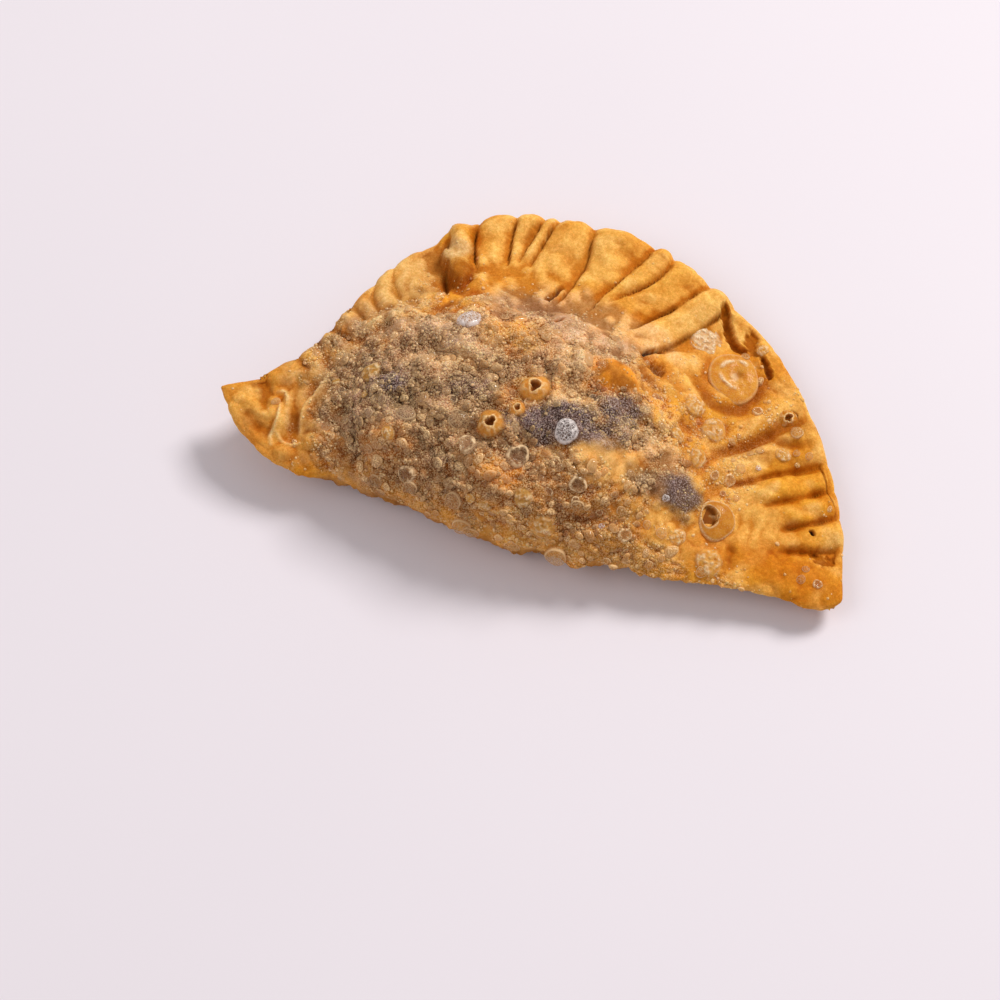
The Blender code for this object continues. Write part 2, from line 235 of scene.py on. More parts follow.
def crease_line(crease):
    """How far along the arc a crease runs at each distance inwards: a leaning line with a bow in it."""
    share = np.clip(inward / (crease[1] * MM), 0, 1)
    return crease[0] * MM - crease[2] * inward + 4 * crease[3] * MM * share * (1 - share)


def ridge_between(near, far, height, skew):
    """A sine ridge between two creases, with a valley along both of them."""
    start, end = crease_line(near), crease_line(far)
    share = (along - start) / np.maximum(end - start, 2 * MM)
    ridge = np.abs(np.sin(np.pi * np.clip(share, 0, 1) ** skew)) ** 0.5
    length = (near[1] + (far[1] - near[1]) * np.clip(share, 0, 1)) * MM
    fade = step(0, 2 * MM, inward) * (1 - step(0.72 * length, length, inward))
    return height * (ridge - VALLEY) * fade * ((share >= 0) & (share < 1))


def outer_slope(crease, height, way):
    """The slope that leads down into a group's first or last crease from outside the group."""
    outside = way * (along - crease_line(crease))
    fade = step(0, 2 * MM, inward) * (1 - step(0.72 * crease[1] * MM, crease[1] * MM, inward))
    return -VALLEY * height * (1 - step(0, 3 * MM, outside)) * fade * (outside > 0)


crimps = np.zeros(along.shape)
for creases, height, skew in CRIMPS:
    for near, far in zip(creases, creases[1:]):
        crimps += ridge_between(near, far, height, skew)
    crimps += outer_slope(creases[0], height, -1) + outer_slope(creases[-1], height, 1)
layer_at = along + FOLDED_LAYER["lean"] * inward
layer = step(FOLDED_LAYER["first"] - 1.5 * MM, FOLDED_LAYER["first"] + 1.5 * MM, layer_at)
layer *= 1 - step(FOLDED_LAYER["last"] - 2 * MM, FOLDED_LAYER["last"] + 3 * MM, layer_at)
layer *= 1 - step(0.4 * FOLDED_LAYER["length"], FOLDED_LAYER["length"], inward)
crimps += FOLDED_LAYER["height"] * layer * step(0, 3 * MM, inward)
print("crimps, mm:", round(crimps.min() / MM, 2), "to", round(crimps.max() / MM, 2))

# %% [markdown]
# A crease in dough shows as a thin line of shade, much sharper than a sine. So a narrow cut follows
# each crease, and its colour later gets painted shade. Its depth changes along its way, as it does where
# fingers pressed harder. The tines of a fork leave wider grooves.

# %% Cut lines
CUT_WIDTH, CUT_DEPTH = 0.42 * MM, 1.1 * MM


def cut(crease, strength, width):
    """A bell-shaped groove along one crease, fading out at both of its ends."""
    aside = along - crease_line(crease) + 0.3 * MM * noise(crust, 9 * MM, int(crease[0]))
    length = crease[1] * MM
    ends = step(1.5 * MM, 5 * MM, inward) * (1 - step(0.75 * length, length, inward))
    uneven = 0.75 + 0.35 * noise(crust, 7 * MM, int(crease[0]) + 1)
    return np.exp(-(aside / width) ** 2) * ends * np.clip(uneven, 0.2, 1.1) * strength


cuts = sum(cut(crease, 1.0, CUT_WIDTH) for crease in PLEATS)
fork_cuts = sum(cut(crease, 0.8, 2.2 * CUT_WIDTH) for crease in FORK_MARKS)
print("points in a cut:", int((cuts + fork_cuts > 0.3).sum()))

# %% [markdown]
# Where the crimps pulled or the frying tore the dough, it gapes: one long slit near the rim, a few
# small holes, and a hollow under a curled edge. Each gash is a bowl along a short path. At the right
# the two layers of the lip stand apart, which shows as a seam that nears the edge.

# %% Gashes and the seam in the lip
# Each gash: half its width and its depth in millimetres, how dark its bed is painted, partly for the
# filling seen through it and partly as painted shade, and the points it follows.
GASHES = {
    "long_slit": (1.15, 2.0, 0.34, [(28.0, 31.6), (31.3, 26.5), (33.6, 23.8), (36.2, 22.8)]),
    "rough_hollow": (1.7, 1.2, 0.26, [(37.0, 29.0), (36.9, 26.0), (38.6, 23.8)]),
    "dark_hole": (0.95, 2.0, 0.42, [(41.0, 22.6), (43.6, 19.4)]),
    "hole_in_the_filling": (1.2, 1.6, 0.62, [(18.0, 8.4), (20.0, 7.9)]),
    "slit_under_the_pleat": (0.6, 1.6, 0.75, [(-12.4, 17.2), (-11.4, 18.8), (-10.2, 21.6)]),
    "torn_corner": (1.4, 0.9, 0.30, [(67.8, -21.0), (69.6, -21.9), (71.4, -21.0)]),
    "corner_pinhole": (0.55, 1.4, 0.9, [(65.1, -16.2), (65.5, -16.4)]),
    "torn_crease_end": (0.55, 1.5, 1.0, [(14.6, 10.8), (16.5, 12.6), (18.2, 13.8)]),
    "crack_behind": (0.5, 0.9, 0.7, [(-9.3, 4.9), (-7.7, 7.3), (-6.2, 9.6)]),
    "front_crevice": (0.7, 0.9, 0.55, [(-17.6, -35.8), (-16.9, -37.0), (-16.0, -37.6)]),
    "edge_crater": (1.0, 1.3, 0.5, [(51.6, 10.3), (52.3, 10.9)]),
}
SEAM_FROM, SEAM_TO = 194.5 * MM, 211 * MM


def gash(places, half_width, points, seed):
    """1 in the bed of a gash and 0 outside, from the distance to its path and a little noise."""
    away, _ = nearest(places[..., :2], smooth_curve(points, 30))
    away = away + 0.22 * half_width * MM * noise(places, 1.3 * MM, seed)
    return 1 - step(0.5 * half_width * MM, 1.25 * half_width * MM, away)


opened, gaping = np.zeros(along.shape), np.zeros(along.shape)
for number, (half_width, deep, dark, points) in enumerate(GASHES.values()):
    bed = gash(crust, half_width, points, 200 + number) * step(0.3 * MM, 1.5 * MM, inward) * (side > 0)
    opened += deep * MM * bed
    gaping = np.maximum(gaping, dark * bed)
seam_share = np.clip((along - SEAM_FROM) / (SEAM_TO - SEAM_FROM), 0, 1)
past_seam = 2.3 * MM * (1 - 0.7 * seam_share ** 2) + 0.12 * MM * noise(crust, 5 * MM, 230) - inward
seam_length = step(SEAM_FROM, SEAM_FROM + 3 * MM, along) * (1 - step(SEAM_TO - 3 * MM, SEAM_TO, along))
seam_length *= step(0.1 * MM, 0.7 * MM, inward) * (side > 0)
seam = np.exp(-(past_seam / (0.38 * MM)) ** 2) * seam_length
lower_layer = step(-0.3 * MM, 0.3 * MM, past_seam) * seam_length
print("gashes:", len(GASHES), "points in them:", int((gaping > 0.1).sum()))

# %% [markdown]
# Thin folded edges stand up as pale lines, and soft hollows with painted shade lie between the
# bumps of the left flap.
# Both follow short paths too, with a bell-shaped profile: upwards for an edge, downwards for a hollow.

# %% Raised edges and soft hollows
# Each line: half its width and its height in millimetres, how pale it is, and the points it follows.
EDGES = {
    "flap_hook": (0.45, 0.6, 0.9, [(-63.4, -27.6), (-62.2, -27.2), (-60.7, -28.4), (-59.8, -30.3)]),
    "flap_fold": (0.40, 0.9, 0.9, [(-61.6, -30.7), (-60.8, -34.0), (-60.9, -36.6), (-61.0, -38.6),
                                   (-60.2, -40.3)]),
    "flap_band_edge": (0.40, 0.4, 0.4, [(-59.8, -30.3), (-58.7, -33.2), (-58.0, -35.4)]),
    "flap_cross": (0.35, 0.4, 0.6, [(-59.9, -37.4), (-57.8, -38.9), (-55.5, -38.9), (-53.6, -38.1)]),
    "film_edge": (0.55, 0.8, 0.5, [(-52.8, -19.4), (-54.4, -25.0), (-55.8, -30.4), (-55.4, -33.8),
                                   (-54.3, -36.2)]),
    "white_curl": (0.55, 0.7, 0.9, [(-49.2, -5.0), (-47.4, -4.2), (-47.0, -2.2)]),
    "mound_rim": (0.9, 0.8, 0.35, [(-46.2, -4.0), (-43.4, -1.6), (-40.4, 0.8), (-35.4, -0.4), (-31.0, -1.0)]),
    "curled_pleat_edge": (0.5, 0.5, 0.4, [(-41.0, 29.4), (-39.4, 31.4), (-37.0, 32.4)]),
}
# Each hollow: half its width and its depth in millimetres, how much painted shade in deep amber it gets, and
# the points it follows.
HOLLOWS = {
    "flap_hollow": (1.3, 0.9, 0.7, [(-68.3, -25.6), (-67.2, -27.6), (-65.8, -30.6), (-64.8, -33.0)]),
    "flap_hollow_arm": (1.0, 0.6, 0.6, [(-70.2, -28.6), (-67.6, -27.4)]),
    "lower_flap": (1.5, 0.8, 0.7, [(-69.6, -34.6), (-66.6, -36.4), (-64.9, -37.5), (-62.6, -38.2)]),
    "beside_the_band": (1.2, 0.9, 0.7, [(-57.4, -30.6), (-56.7, -34.6), (-56.5, -37.4)]),
    "behind_the_film_edge": (1.1, 0.7, 0.6, [(-56.2, -22.6), (-55.8, -26.0)]),
    "rim_hollow": (1.0, 0.6, 0.5, [(-61.5, -18.6), (-58.8, -20.2)]),
    "rim_hollow_above": (1.2, 0.7, 0.5, [(-56.0, -16.4), (-54.4, -19.0)]),
    "in_the_film": (1.3, 0.7, 0.6, [(-54.2, -29.6), (-53.9, -32.6)]),
    "under_the_white_curl": (0.9, 0.9, 0.6, [(-52.0, -10.0), (-47.4, -7.2), (-45.4, -4.4)]),
    "rim_pocket": (1.0, 0.6, 0.6, [(-46.2, 10.6), (-44.4, 7.8)]),
    "third_pleat": (1.5, 0.7, 0.5, [(-21.6, 35.6), (-23.2, 32.0)]),
    "front_hollow": (1.4, 0.9, 0.5, [(8.0, -36.6), (16.0, -36.0), (23.0, -33.6)]),
    "right_hollow": (1.2, 0.8, 0.5, [(48.6, -26.5), (49.8, -31.0)]),
    "diagonal_valley": (1.8, 1.2, 0.75, [(36.8, -9.2), (40.5, -3.9), (45.0, 0.5), (49.5, 6.7), (53.2, 12.9)]),
    "under_the_disc": (1.8, 1.0, 0.75, [(28.4, 10.0), (33.6, 6.1), (38.1, 6.7), (41.7, 11.5), (43.2, 17.1)]),
    "short_fork_mark": (1.5, 1.1, 0.75, [(49.6, 2.9), (53.9, 3.0), (57.2, 4.8)]),
    "beside_the_curl": (1.1, 0.9, 0.6, [(-41.6, 26.6), (-41.2, 22.2), (-39.0, 17.6), (-35.2, 13.2),
                                        (-32.0, 11.2)]),
}


def beside(places, half_width, points):
    """1 on a path and falling off on both sides like a bell, with fading ends."""
    path = smooth_curve(points, 40)
    away, at = nearest(places[..., :2], path)
    length = np.linalg.norm(np.diff(path, axis=0), axis=1).sum()
    ends = 0.5 + 0.5 * step(0, 0.25 * length, at) * (1 - step(0.75 * length, length, at))
    return np.exp(-(away / (half_width * MM)) ** 2) * ends * (side > 0)


edges, paleness = np.zeros(along.shape), np.zeros(along.shape)
for half_width, height, pale, points in EDGES.values():
    line = beside(crust, half_width, points)
    edges += height * MM * line
    paleness = np.maximum(paleness, pale * line)
hollows, amber = np.zeros(along.shape), np.zeros(along.shape)
for half_width, deep, tint, points in HOLLOWS.values():
    line = beside(crust, half_width, points)
    hollows += deep * MM * line
    amber = np.maximum(amber, tint * line)
print("edges and hollows:", len(EDGES), len(HOLLOWS))

# %% [markdown]
# ## Lumps
# Meat shows through the thin dough as soft lumps. Each is half an ellipsoid, turned in plan.

# %% Named lumps
# Each lump: x, y, length and width in millimetres, turn in degrees, height in millimetres.
MOUNDS = {
    "curled_pleat": (-38.5, 23.5, 22, 9.5, -71, 2.4),
    "orange_lump": (-28.6, 13.6, 6.0, 5.4, 0, 1.6),
    "flap_band": (-59.9, -33.6, 15, 4.0, 95, 1.4),
    "tip_bump": (-71.2, -32.6, 3.6, 3.2, 0, 0.6),
    "flap_speck": (-68.0, -29.4, 1.6, 1.4, 0, 0.4),
    "flap_bump_1": (-65.6, -24.6, 4.0, 3.4, 30, 0.6),
    "flap_bump_2": (-61.2, -22.6, 4.6, 4.0, 30, 0.7),
    "flap_bump_3": (-58.2, -24.0, 3.2, 2.8, 0, 0.5),
    "flap_bump_4": (-63.4, -34.0, 5.0, 3.4, 20, 0.7),
    "flap_bump_5": (-64.0, -30.0, 3.0, 3.6, 0, 0.6),
    "flap_bump_6": (-64.4, -36.0, 1.8, 1.6, 0, 0.4),
    "front_bulb": (-56.6, -41.0, 5.4, 4.6, 0, 1.0),
    "foam_cluster": (-51.6, -37.0, 6.0, 4.6, 10, 1.2),
    "dark_filling_ridge": (6.0, -17.0, 34, 15, 14, 1.4),
    "amber_lump": (11.0, -1.5, 15, 10, 12, 1.8),
    "smooth_shoulder": (16.5, -22.0, 24, 14, 8, 1.2),
    "left_filling_lump": (-34.0, -32.0, 24, 15, -12, 2.0),
    "back_filling_lump": (-18.0, -3.0, 30, 15, 18, 1.8),
    "right_filling_lump": (33.0, -19.0, 15, 12, 30, 2.2),
    "front_filling_lump": (-8.0, -34.0, 26, 12, 4, 1.6),
}


def ellipse(places, x, y, length, width, turn):
    """0 in the middle of a turned ellipse in plan, 1 on its outline and more outside."""
    angle = np.radians(turn)
    offset = places[..., :2] - np.array([x, y]) * MM
    main = (offset @ [np.cos(angle), np.sin(angle)]) / (length * MM / 2)
    cross = (offset @ [-np.sin(angle), np.cos(angle)]) / (width * MM / 2)
    return np.hypot(main, cross)


mounds = np.zeros(along.shape)
for *shape, height in MOUNDS.values():
    mounds += height * MM * np.clip(1 - ellipse(crust, *shape) ** 2, 0, 1) ** 1.2
print("lumps:", len(MOUNDS))

# %% [markdown]
# At the top left the end of a pleat curls over into a smooth bulb, like an egg with its point down.
# Two flattened balls joined make it. It hides the creases under it, so its height replaces theirs.
# Towards the lip it runs out into its pleat.

# %% The curled end
CURL = [(-37.6, 22.6, 8.6, 8.0, -61), (-35.2, 18.4, 11.0, 5.6, -61)]
CURL_FOOT, CURL_HEIGHT = 1.7 * MM, 2.7 * MM
CURL_RUNS_OUT = 22 * MM, 27 * MM  # how far back the curl starts to merge with its pleat, and has merged
curl = np.max([np.clip(1 - ellipse(crust, *shape) ** 2, 0, 1) for shape in CURL], axis=0) * (side > 0)
on_curl = step(0, 0.2, curl) * (1 - step(*CURL_RUNS_OUT, plan[..., 1]))
print("points on the curl:", int((curl > 0).sum()))

# %% [markdown]
# ## Fried skin
# Between the bubbles the skin itself is puffed. Noise with its sign taken away has round tops and
# sharp valleys, which is just how puffed dough looks. It is strong over the filling and weak on the
# folded rim, where the dough is thick and stays smooth.

# %% Where it foams
LEAST_FOAM, CLEARED = 0.05, 0.95  # what smooth dough has, and the share that FOAM_CLEAR takes away
# Ellipses in plan, as for the lumps: where the dough stays smooth, and where it foams and how much.
FOAM_CLEAR = {
    "smooth_pleats": (2.0, 30.0, 96, 28, -4),
    "bare_corner": (60.0, -24.0, 30, 18, -12),
    "smooth_shoulder": (16.0, -21.5, 18, 8, 10),
    "left_flap": (-65.0, -31.0, 22, 24, 0),
    "right_crimps": (58.0, -6.0, 18, 34, -20),
    "amber_lump": (11.2, -1.6, 12, 9, 12),
    "left_lobes": (-49.0, 8.0, 10, 26, -24),
}
FOAM_MORE = {
    "ragged_edge": (40.0, 14.0, 26, 20, -38, 0.14),
    "left_rim": (-49.0, -2.0, 14, 40, -14, 0.20),
    "right_of_the_filling": (40.0, -8.0, 30, 26, -10, 0.26),
    "front": (0.0, -38.0, 92, 12, 0, 0.75),
    "over_the_filling": (-14.0, -17.0, 86, 50, 6, 1.0),
}


def soft_patch(places, shape, edge=0.35):
    """1 inside a turned ellipse and 0 outside, over an edge that noise makes ragged."""
    ragged = ellipse(places, *shape) + 0.16 * noise(places, 6 * MM, int(shape[2]))
    ragged = ragged + 0.05 * noise(places, 2 * MM, 5)
    return 1 - step(1 - edge, 1 + edge, ragged)


def foam(places):
    """How thickly the skin blisters, from 0 on smooth dough to 1 over the filling."""
    total = LEAST_FOAM * np.ones(places.shape[:-1])
    for *shape, most in FOAM_MORE.values():
        total = np.maximum(total, most * soft_patch(places, shape))
    for shape in FOAM_CLEAR.values():
        total *= 1 - CLEARED * soft_patch(places, shape, 0.25)
    return total


foaming = foam(crust)
print("share that foams:", round(float((foaming[:, :TOP_ROWS] > 0.5).mean()), 2))

# %% [markdown]
# All the relief is added up, and moves the crust along its own normals. It fades out at the lip,
# where the layers are pressed thin, and at both corners. The underside has less of it.

# %% Relief along the normals


def unit_normals(grid):
    """Unit normals of a grid whose rows close on themselves, from its differences both ways."""
    normal = np.cross(np.gradient(grid, axis=0), np.roll(grid, -1, axis=1) - np.roll(grid, 1, axis=1))
    return normal / (np.linalg.norm(normal, axis=2)[..., None] + 1e-12)


def blurred(values, times):
    """Each value replaced by the mean of its neighbours, again and again; rows close on themselves."""
    for _ in range(times):
        ahead = np.concatenate([values[1:], values[-1:]])
        behind = np.concatenate([values[:1], values[:-1]])
        values = (ahead + behind + np.roll(values, 1, axis=1) + np.roll(values, -1, axis=1)) / 4
    return values


def puffed(size, seed):
    """Noise with its sign taken away, less its usual height: round tops and sharp valleys."""
    return np.abs(noise(crust, size, seed)) - 0.6


LIP_FADE, CORNER_FADE = 2.5 * MM, 5 * MM  # how far from the lip and the corners the relief is whole
UNDER_CRIMPS, UNDER_PUFFS = 0.25, 0.5  # how much of the relief the underside has
LAYER_DROP, SEAM_DROP = 0.7 * MM, 0.4 * MM
upper = side > 0
softly = rounding(inward, LIP_FADE)
lumps = 0.8 * MM * noise(crust, 15 * MM, SEED) + 0.45 * MM * noise(crust, 6.5 * MM, SEED + 1)
puffs = 0.85 * MM * puffed(8 * MM, SEED + 2)
puffs += 0.62 * MM * puffed(4.2 * MM, SEED + 3)
soft_bumps = 0.34 * MM * puffed(6.5 * MM, SEED + 5)
relief = crimps * np.where(upper, 1.0, UNDER_CRIMPS) + mounds * upper - CUT_DEPTH * (cuts + fork_cuts) * upper
relief += edges - hollows - opened - LAYER_DROP * lower_layer - SEAM_DROP * seam
relief = relief * (1 - on_curl) + (CURL_FOOT + CURL_HEIGHT * np.sqrt(curl)) * on_curl
relief += soft_bumps * (1 - foaming) * softly
relief += lumps * (0.45 + 0.55 * belly(crust)) * softly
relief += puffs * (0.15 + 0.85 * foaming) * softly * np.where(upper, 1.0, UNDER_PUFFS)
relief += 0.42 * MM * puffed(2.8 * MM, SEED + 6) * foaming * softly
relief += (0.04 + 0.12 * foaming) * MM * noise(crust, 1.9 * MM, SEED + 4) * softly
corner_gap = np.minimum(np.linalg.norm(plan - fold[0], axis=2), np.linalg.norm(plan - fold[-1], axis=2))
relief *= step(0, CORNER_FADE, corner_gap)
crust = crust + unit_normals(crust) * relief[..., None]
crust[..., 2] = np.maximum(crust[..., 2], 0)
print("height, mm:", round(crust[..., 2].max() / MM, 1))

# %% [markdown]
# The whole grid now moves so that it stands where the plain solid stands. Washes and blisters are
# measured on the outline, like the creases, so from here on they are moved by `shift` as well.

# %% Over the plain solid
extent = crust.reshape(-1, 3)
shift = (extent.min(axis=0) + extent.max(axis=0)) / 2 - (low + high) / 2
shift[2] = 0
crust = crust - shift
normals = unit_normals(crust)
print("moved by, mm:", np.round(-shift / MM, 2))

# %% [markdown]
# ## The camera
# The camera stands in front of the fold and looks down steeply. It is turned a little to the right,
# so that the long side of the pastelito runs down across the picture.

# %% Camera
CAMERA_TARGET = np.array([-5.311, -34.063, 10.0]) * MM - shift
CAMERA_AZIMUTH, CAMERA_ELEVATION = np.radians(20.3135), np.radians(66.0)
CAMERA_DISTANCE, LENS = 0.550, 85.0
towards = Vector((np.sin(CAMERA_AZIMUTH) * np.cos(CAMERA_ELEVATION),
                  -np.cos(CAMERA_AZIMUTH) * np.cos(CAMERA_ELEVATION), np.sin(CAMERA_ELEVATION)))
camera = bpy.data.objects.new("camera", bpy.data.cameras.new("camera"))
camera.data.lens = LENS
camera.data.sensor_width = 36.0
camera.location = Vector(CAMERA_TARGET) + CAMERA_DISTANCE * towards
camera.rotation_euler = towards.to_track_quat("Z", "Y").to_euler()
bpy.context.scene.collection.objects.link(camera)
bpy.context.scene.camera = camera
print("camera at, mm:", [round(value / MM) for value in camera.location])

# %% [markdown]
# ## Colour
# The crust is golden, with painted shade where it lies low and a painted highlight where it stands up.
# Over the filling the dough is thin and stained grey-brown, and at a few places the filling is almost
# bare and dark. These fields are patches with ragged edges, laid over each other like washes of paint.
# The result is kept at each point of the mesh, so that skin and bubbles share it.

# %% Washes of colour
GOLDEN, PALE_GOLD = (0.68, 0.270, 0.022), (0.80, 0.40, 0.080)
AMBER, DEEP_AMBER = (0.58, 0.180, 0.008), (0.34, 0.092, 0.003)
FRONT_SHADE_BROWN, RIM_TAN = (0.38, 0.135, 0.014), (0.64, 0.36, 0.120)
UNDERSIDE_SHADE, GREY_DOUGH = (0.30, 0.115, 0.018), (0.300, 0.150, 0.080)
DARK_FILLING, CREAM = (0.085, 0.045, 0.036), (0.86, 0.52, 0.220)
PALE_GREY, DEEP_BROWN = (0.53, 0.290, 0.148), (0.26, 0.108, 0.036)
SHOULDER, PURPLE_BROWN = (0.70, 0.35, 0.090), (0.19, 0.095, 0.058)
PALE_EDGE, PALE_CLOUD = (0.86, 0.58, 0.25), (0.84, 0.46, 0.120)
# In front of the fold line the crust gets painted shade, as the front faces away from the lamp.
FRONT_LINE = -43.5 * MM  # about where the fold lies; in front of it the crust is more amber
# Each wash: an ellipse in plan as for the lumps, its colour and its strength. Later ones lie on top.
WASHES = [
    ((-47.0, 6.0, 16, 40, -20), RIM_TAN, 0.55),
    # Painted shade along the front side, which faces away from the lamp.
    ((4.0, -37.0, 70, 14, 3), FRONT_SHADE_BROWN, 0.55),
    ((-30.0, -38.0, 40, 12, -4), FRONT_SHADE_BROWN, 0.50),
    ((-23.0, -17.5, 76, 42, 4), GREY_DOUGH, 0.80),
    ((-15.3, 11.5, 22, 14, 10), PALE_GREY, 0.80),
    ((0.9, 7.5, 30, 16, -12), PALE_GREY, 0.80),
    ((-26.0, -4.0, 30, 12, 14), PALE_GREY, 0.55),
    ((26.5, -19.0, 16, 14, 20), GREY_DOUGH, 0.70),
    ((-20.0, -33.0, 76, 15, 3), DEEP_BROWN, 0.40),
    ((-22.3, -11.5, 14, 8, 14), CREAM, 0.55),
    ((0.2, -11.6, 12, 8, 10), CREAM, 0.95),
    ((3.7, -0.2, 11, 9, 0), CREAM, 0.85),
    ((24.0, -13.5, 14, 7, 0), CREAM, 0.55),
    ((-14.6, -0.2, 14, 11, 20), GOLDEN, 0.75),
    ((-14.0, 0.0, 7, 6, 20), AMBER, 0.30),
    ((-42.0, -24.5, 24, 22, 10), PURPLE_BROWN, 0.55),
    ((-18.0, -15.5, 22, 7, 16), PURPLE_BROWN, 0.50),
    ((-6.2, -14.6, 15, 10, 35), GOLDEN, 0.60),
    ((10.9, -1.5, 14, 10, 12), AMBER, 0.95),
    ((15.7, -21.2, 22, 11, 10), SHOULDER, 0.90),
    ((-6.1, -33.8, 14, 8, 0), AMBER, 0.75),
    ((-10.9, -24.2, 8, 7, 0), AMBER, 0.85),
    ((-33.0, -34.0, 14, 7, 0), AMBER, 0.50),
    ((-4.8, -14.5, 12, 8, 10), AMBER, 0.20),
    ((12.0, -31.0, 26, 8, 6), DEEP_AMBER, 0.45),
    ((5.5, -18.4, 30, 9, 15), DARK_FILLING, 0.95),
    ((15.5, -8.5, 11, 8, 10), DARK_FILLING, 0.90),
    ((34.5, -20.7, 10, 10, 0), DARK_FILLING, 0.92),
    ((26.0, -22.5, 8, 5, 10), DARK_FILLING, 0.55),
    ((-37.0, -20.9, 7, 5, 20), DARK_FILLING, 0.85),
    ((-18.5, -17.5, 11, 6, 20), DARK_FILLING, 0.55),
    ((-20.0, -35.0, 6, 4, 20), DARK_FILLING, 0.50),
    ((-31.0, -24.0, 22, 12, 10), DARK_FILLING, 0.25),
    ((2.0, 31.0, 92, 22, -4), PALE_GOLD, 0.45),
    ((4.5, 16.6, 36, 9, -8), CREAM, 0.60),
    ((18.6, 8.3, 8, 6, 10), AMBER, 0.75),
    # Painted highlight on the top of the curled end, and painted shade under it.
    ((-38.4, 24.0, 7, 7, 20), RIM_TAN, 0.90),
    ((-34.2, 16.6, 9, 7, -60), DEEP_AMBER, 0.95),
    # Painted shade in the valleys between the fork marks.
    ((52.0, 8.0, 16, 5, 20), DEEP_AMBER, 0.45),
    ((50.0, -2.0, 20, 3.5, 16), DEEP_AMBER, 0.45),
    ((39.0, 18.0, 12, 14, -40), AMBER, 0.60),
    ((46.0, -27.0, 12, 8, 0), AMBER, 0.45),
    ((65.0, -22.5, 8, 9, 0), AMBER, 0.50),
    ((-28.6, 13.6, 7, 6, 0), AMBER, 0.75),
    ((-64.0, -28.0, 24, 18, 30), PALE_GOLD, 0.35),
    ((-59.9, -33.6, 4, 11, 5), PALE_GOLD, 0.45),
    ((54.0, -20.5, 12, 13, 10), PALE_GOLD, 0.85),
    ((62.0, -27.5, 24, 10, -8), AMBER, 0.80),
]
print("washes:", len(WASHES))

# %% Laying the washes


def mix(one, other, share):
    """The first colour where share is 0 and the second where it is 1."""
    return one + (np.array(other) - one) * np.asarray(share)[..., None]


def crust_colour(places):
    """Golden dough with each wash laid over it, in order."""
    where = places + shift
    slow = noise(where, 24 * MM, 31)
    colour = mix(np.zeros(where.shape) + GOLDEN, PALE_GOLD, step(-0.6, 0.9, slow))
    colour = mix(colour, AMBER, 0.55 * step(0.1, 1.1, noise(where, 13 * MM, 32)))
    colour = mix(colour, PALE_CLOUD, 0.55 * step(0.0, 0.9, noise(where, 7 * MM, 33)))
    # Painted shade in amber along the front, which faces away from the lamp.
    front = 1 - step(1 * MM, 10 * MM, where[..., 1] - FRONT_LINE)
    colour = mix(colour, AMBER, 0.5 * front)
    for shape, tint, strength in WASHES:
        colour = mix(colour, tint, strength * soft_patch(where, shape, 0.42))
    return colour


colour = crust_colour(crust)
print("golden dough with its washes:", np.round(colour[:, side > 0].mean(axis=(0, 1)), 3))

# %% [markdown]
# Over the filling the dough is mottled, darker and paler by turns. Valleys everywhere get painted shade
# and ridges a painted highlight. How deep a point lies is measured against its surroundings: the
# blurred surface less the surface, along the normal, once over a short way and once over a long one.
# Creases, soft hollows and the foot of the curled end then get painted shade in deep amber; gashes
# go deep amber and dark, partly for the filling and partly as painted shade. Thin edges are painted pale.

# %% Mottling, valleys and edges
FILLING = (-12.0, -16.0, 92, 54, 4)
DARK_MOTTLE, PALE_MOTTLE = [0.54, 0.47, 0.42], [1.44, 1.47, 1.50]
# The painted highlight on ridges, and the painted shade in valleys of grey and of golden dough.
RIDGE_LIGHT, GREY_SHADE, GOLDEN_SHADE = [1.10, 1.23, 1.50], [0.50, 0.42, 0.37], [0.74, 0.52, 0.22]
BRIGHTEST = 0.84  # no channel of the painted colour is brighter
SHORT_WAY, LONG_WAY = 26, 150  # rounds of blurring
SHALLOW, DEEP = 0.35 * MM, 0.9 * MM  # the depths that count as a full hollow for each of them
filled = soft_patch(crust + shift, FILLING, 0.3)
patchy = noise(crust + shift, 8 * MM, 34) + 0.7 * noise(crust + shift, 3.5 * MM, 35)
colour = mix(colour, colour * DARK_MOTTLE, 0.85 * filled * step(0.15, 1.2, patchy))
colour = mix(colour, colour * PALE_MOTTLE, 0.90 * filled * step(0.15, 1.2, -patchy))
bare = np.max([soft_patch(crust + shift, shape, 0.42) for shape, tint, share in WASHES
               if tint == DARK_FILLING and share > 0.8], axis=0)
hollow = np.einsum("ijk,ijk->ij", blurred(crust, SHORT_WAY) - crust, normals) / SHALLOW
wide_hollow = np.einsum("ijk,ijk->ij", blurred(crust, LONG_WAY) - crust, normals) / DEEP
depth = np.clip(0.55 * hollow + 0.45 * wide_hollow, -1, 1)
golden = step(0.74, 0.93, 1 - colour[..., 2] / colour[..., 0])
shade = mix(np.zeros(colour.shape) + GREY_SHADE, GOLDEN_SHADE, golden)
# Painted highlight on ridges and painted shade in valleys, by how deep each point lies.
colour = mix(colour, colour * RIDGE_LIGHT, step(0.0, 1.0, -depth))
colour = mix(colour, colour * shade, step(0.0, 0.75, depth))
# Painted shade in deep amber in the soft hollows and in the fork grooves.
colour = mix(colour, DEEP_AMBER, np.maximum(amber * (1 - on_curl), 0.85 * np.clip(fork_cuts * upper, 0, 1)))
# Painted shade in deep amber round the foot of the curled end.
colour = mix(colour, DEEP_AMBER, 0.8 * on_curl * (1 - step(0.1, 0.45, curl)))
colour = mix(colour, PALE_EDGE, paleness)
# Painted shade along the creases and in the seam between the two layers.
colour = mix(colour, np.array(DEEP_AMBER) * 0.6, np.clip(cuts * upper * (1 - on_curl) + 0.8 * seam, 0, 0.85))
